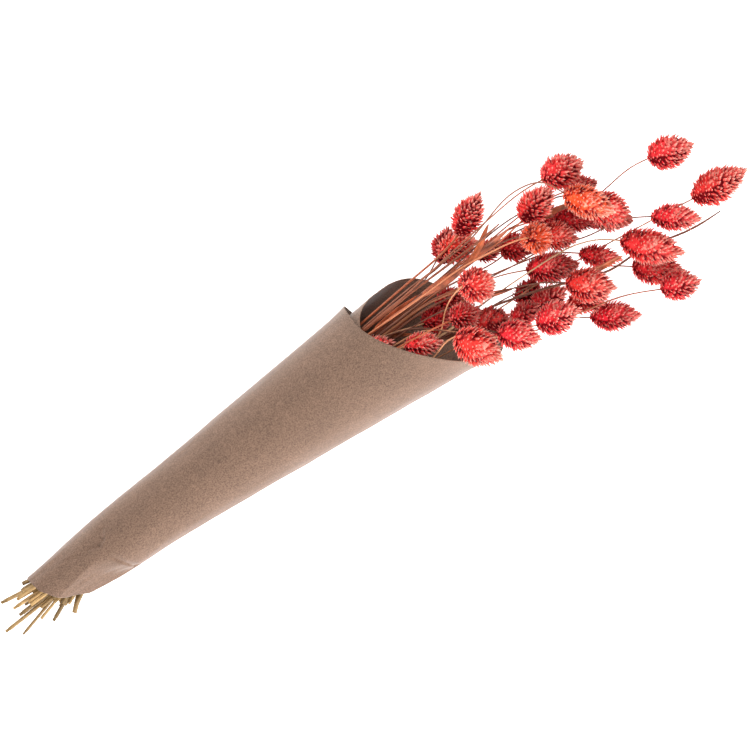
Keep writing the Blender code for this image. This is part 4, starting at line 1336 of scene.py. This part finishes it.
def lay_leaf(way, half_widths, fold, twist):
    """A ribbon of leaf along the way, folded along its midrib and twisted, with its thickness."""
    lengths = len(way) - 1
    across, up = carried_axes(way)
    bm = bmesh.new()
    bm.loops.layers.uv.new("leaf")
    bmesh.ops.create_grid(bm, x_segments=6, y_segments=lengths, size=0.5, calc_uvs=True)
    for vert in bm.verts:
        k = round((vert.co.y + 0.5) * lengths)
        turn = twist * k / lengths
        sideways = 2.0 * vert.co.x * half_widths[k]
        drop = fold * abs(2.0 * vert.co.x) * half_widths[k]
        wide = across[k] * math.cos(turn) + up[k] * math.sin(turn)
        high = up[k] * math.cos(turn) - across[k] * math.sin(turn)
        vert.co = Vector(way[k] + wide * sideways + high * drop)
    bmesh.ops.solidify(bm, geom=bm.faces[:], thickness=LEAF_THICKNESS)
    bmesh.ops.recalc_face_normals(bm, faces=bm.faces)
    return bm


def make_leaves(lines, balls, settings):
    """Spindle-shaped sheaths round some stems, and the blades that leave them."""
    rng = np.random.default_rng(SEED + 2)
    ways = {name: path for name, _, path in lines}
    bodies = []
    shades = [leaf[-1] for leaf in (*SHEATHS, *BLADES)]
    for name, start, stop, radius, _ in SHEATHS:
        path = ways[name]
        held = (path[:, 0] >= start - SHEATH_ENDS_PAST[0]) & (path[:, 0] <= stop + SHEATH_ENDS_PAST[1])
        stretch = evenly(path[held], LEAF_SPACING)
        share = np.linspace(0.0, 1.0, len(stretch))
        bulge = SHEATH_ROOT + (radius - SHEATH_ROOT) * np.sin(math.pi * np.minimum(share * 1.05, 1.0)) ** 0.8
        bodies.append(lay_leaf(stretch, bulge * 1.05, SHEATH_FOLD, SHEATH_TWIST))
    for name, x, tip_x, tip_y, tip_z, half_width, _ in BLADES:
        path = ways[name]
        first = int(np.abs(path[:, 0] - x).argmin())
        root = Vector(path[first])
        ahead = (Vector(path[first + 1]) - root).normalized()
        tip = Vector((tip_x, tip_y, tip_z))
        reach = (tip - root).length
        bend = root.lerp(tip, 0.7) + Vector((0.0, 0.0, BLADE_RISE))
        line = bezier(root, root + ahead * 0.4 * reach, bend, tip, BLADE_POINTS)
        way = evenly(ease_clear(line, 1.0, balls, "", MOUTH_MARGIN), LEAF_SPACING)
        share = np.linspace(0.0, 1.0, len(way))
        widths = half_width * np.maximum(np.sin(math.pi * np.minimum(0.08 + 0.9 * share, 1.0)) ** 0.6, 0.12)
        bodies.append(lay_leaf(way, widths, BLADE_FOLD, rng.uniform(-BLADE_TWIST, BLADE_TWIST)))
    mesh = gather(bodies, "dried_leaves", {"shade": shades})
    return add_piece("dried_leaves", mesh, dry_leaf_material(settings), ["stems"])


def make_tie(settings):
    """The tie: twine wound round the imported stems, hidden in the paper."""
    outer, centre_z = tie_centre_height(tie_slots(len(HEADS) + len(BARE_STALKS)))
    radius = outer + CLEAR + TIE_GAUGE / 2
    bodies = []
    pitch = (TIE_WIDTH - TIE_GAUGE) / max(settings.turns - 1, 1)
    angles = np.linspace(0.0, math.tau, STRAND_POINTS)
    for turn in range(settings.turns):
        x = TIE_X + (turn - (settings.turns - 1) / 2) * pitch
        for ply in (0.0, math.pi):
            lay = angles * STRAND_TURNS + ply
            ring = radius + STRAND_REACH * np.cos(lay)
            way = np.column_stack([
                x + STRAND_REACH * np.sin(lay), ring * np.cos(angles), centre_z + ring * np.sin(angles),
            ])
            bodies.append(sweep(way, np.full(len(way), STRAND_RADIUS), STRAND_SIDES))
    mesh = gather(bodies, "jute_tie", {})
    return add_piece("jute_tie", mesh, jute_material(settings), ["tie"])


# The camera looks straight down, turned so that the bunch lies across the picture as photographed. Its place
# is in metres, its lens and sensor in mm.
CAMERA_X, CAMERA_Y = 0.12679, -0.00978
CAMERA_ROLL = math.atan2(-0.575, 0.818)
CAMERA_LENS = 150.86
SENSOR = 36.0
# Half the width of the floor, and its drop under the bunch so that the two don't meet, in metres.
FLOOR_REACH = 4.0
FLOOR_DROP = 0.0002
# Where the lights aim. Two long soft ones lie along the bunch, and a broad weak one hangs over it: name,
# place and size in metres.
LIGHTS_AIM = (0.1, 0.0, 0.03)
LIGHTS = (
    ("right", (0.0, -1.15, 0.55), (1.6, 0.7)),
    ("left", (0.1, 1.1, 0.60), (1.6, 0.7)),
    ("top", (0.1, 0.0, 3.2), (1.2, 1.2)),
)


def add_light(name, place, size, power):
    """A soft rectangular light that faces the bunch."""
    lamp = bpy.data.lights.new(name, "AREA")
    lamp.shape = "RECTANGLE"
    lamp.size, lamp.size_y = size
    lamp.energy = power
    light = bpy.data.objects.new(name, lamp)
    light.location = place
    aim = Vector(LIGHTS_AIM) - Vector(place)
    light.rotation_euler = aim.to_track_quat("-Z", "Y").to_euler()
    bpy.context.scene.collection.objects.link(light)


def make_stage(settings):
    """The floor under the bunch, the lights round it and the camera over it."""
    bm = bmesh.new()
    bmesh.ops.create_grid(bm, x_segments=1, y_segments=1, size=FLOOR_REACH)
    bmesh.ops.translate(bm, vec=(0.0, 0.0, CAD_BOX[0][2] - FLOOR_DROP), verts=bm.verts)
    mesh = bpy.data.meshes.new("floor")
    bm.to_mesh(mesh)
    bm.free()
    floor = bpy.data.objects.new("floor", mesh)
    mesh.materials.append(floor_material(settings))
    bpy.context.scene.collection.objects.link(floor)
    for name, place, size in LIGHTS:
        add_light(name, place, size, getattr(settings, name + "_power"))
    world = bpy.data.worlds.new("studio")
    world.use_nodes = True
    background = world.node_tree.nodes["Background"]
    background.inputs["Color"].default_value = (1.0, 1.0, 1.0, 1.0)
    background.inputs["Strength"].default_value = settings.world_light
    bpy.context.scene.world = world
    lens = bpy.data.cameras.new("camera")
    lens.sensor_width = SENSOR
    lens.lens = CAMERA_LENS
    camera = bpy.data.objects.new("camera", lens)
    camera.location = (CAMERA_X, CAMERA_Y, settings.camera_height)
    camera.rotation_euler = (0.0, 0.0, CAMERA_ROLL)
    bpy.context.scene.collection.objects.link(camera)
    bpy.context.scene.camera = camera
    bpy.context.scene.view_settings.view_transform = "Standard"


class BunchStage(bpy.types.Operator):
    """Adds the floor, lights and camera"""

    bl_idname = "bunch.stage"
    bl_label = "Stage"

    def execute(self, context):
        make_stage(context.scene.bunch_stage)
        return {"FINISHED"}


class BunchPaper(bpy.types.Operator):
    """Adds the rolled kraft paper"""

    bl_idname = "bunch.paper"
    bl_label = "Kraft paper"

    def execute(self, context):
        make_paper(context.scene.bunch_paper)
        return {"FINISHED"}


class BunchHeads(bpy.types.Operator):
    """Adds the dyed heads, scale by scale"""

    bl_idname = "bunch.heads"
    bl_label = "Dyed heads"

    def execute(self, context):
        settings = context.scene.bunch_heads
        rng = np.random.default_rng(settings.seed)
        heights = settle_heads()
        template = scale_template()
        mat = dyed_scale_material(settings)
        for head in HEADS:
            make_head(head, heights[head[0]], template, mat, settings, rng)
        bpy.data.meshes.remove(template)
        return {"FINISHED"}


class BunchStems(bpy.types.Operator):
    """Adds the dry stems with their cut ends, sheaths and leaf blades"""

    bl_idname = "bunch.stems"
    bl_label = "Dry stems"

    def execute(self, context):
        settings = context.scene.bunch_stems
        heights = settle_heads()
        balls = head_balls(heights)
        lines = stem_lines(heights, balls, np.random.default_rng(SEED))
        make_stems(lines, settings)
        make_leaves(lines, balls, settings)
        return {"FINISHED"}


class BunchTie(bpy.types.Operator):
    """Adds the twine that ties the stems"""

    bl_idname = "bunch.tie"
    bl_label = "Jute tie"

    def execute(self, context):
        make_tie(context.scene.bunch_tie)
        return {"FINISHED"}


class BunchPanel(bpy.types.Panel):
    """Lists the pieces of the bunch and their settings"""

    bl_idname = "VIEW3D_PT_bunch"
    bl_label = "Canary grass bunch"
    bl_space_type = "VIEW_3D"
    bl_region_type = "UI"
    bl_category = "Bunch"

    def draw(self, context):
        for operator, group in zip(OPERATORS, SETTINGS):
            box = self.layout.box()
            box.operator(operator.bl_idname)
            settings = getattr(context.scene, group)
            for name in settings.bl_rna.properties.keys():
                if name not in ("rna_type", "name"):
                    box.prop(settings, name)


OPERATORS = (BunchPaper, BunchHeads, BunchStems, BunchTie, BunchStage)


def register():
    for group in (*SETTINGS.values(), *OPERATORS, BunchPanel):
        bpy.utils.register_class(group)
    for name, group in SETTINGS.items():
        setattr(bpy.types.Scene, name, PointerProperty(type=group))


def unregister():
    for name in SETTINGS:
        delattr(bpy.types.Scene, name)
    for group in reversed((*SETTINGS.values(), *OPERATORS, BunchPanel)):
        bpy.utils.unregister_class(group)


def main():
    """Registers the add-on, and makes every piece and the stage."""
    register()
    bpy.ops.bunch.stage()
    bpy.ops.bunch.paper()
    bpy.ops.bunch.heads()
    bpy.ops.bunch.stems()
    bpy.ops.bunch.tie()


if __name__ == "__main__":
    main()
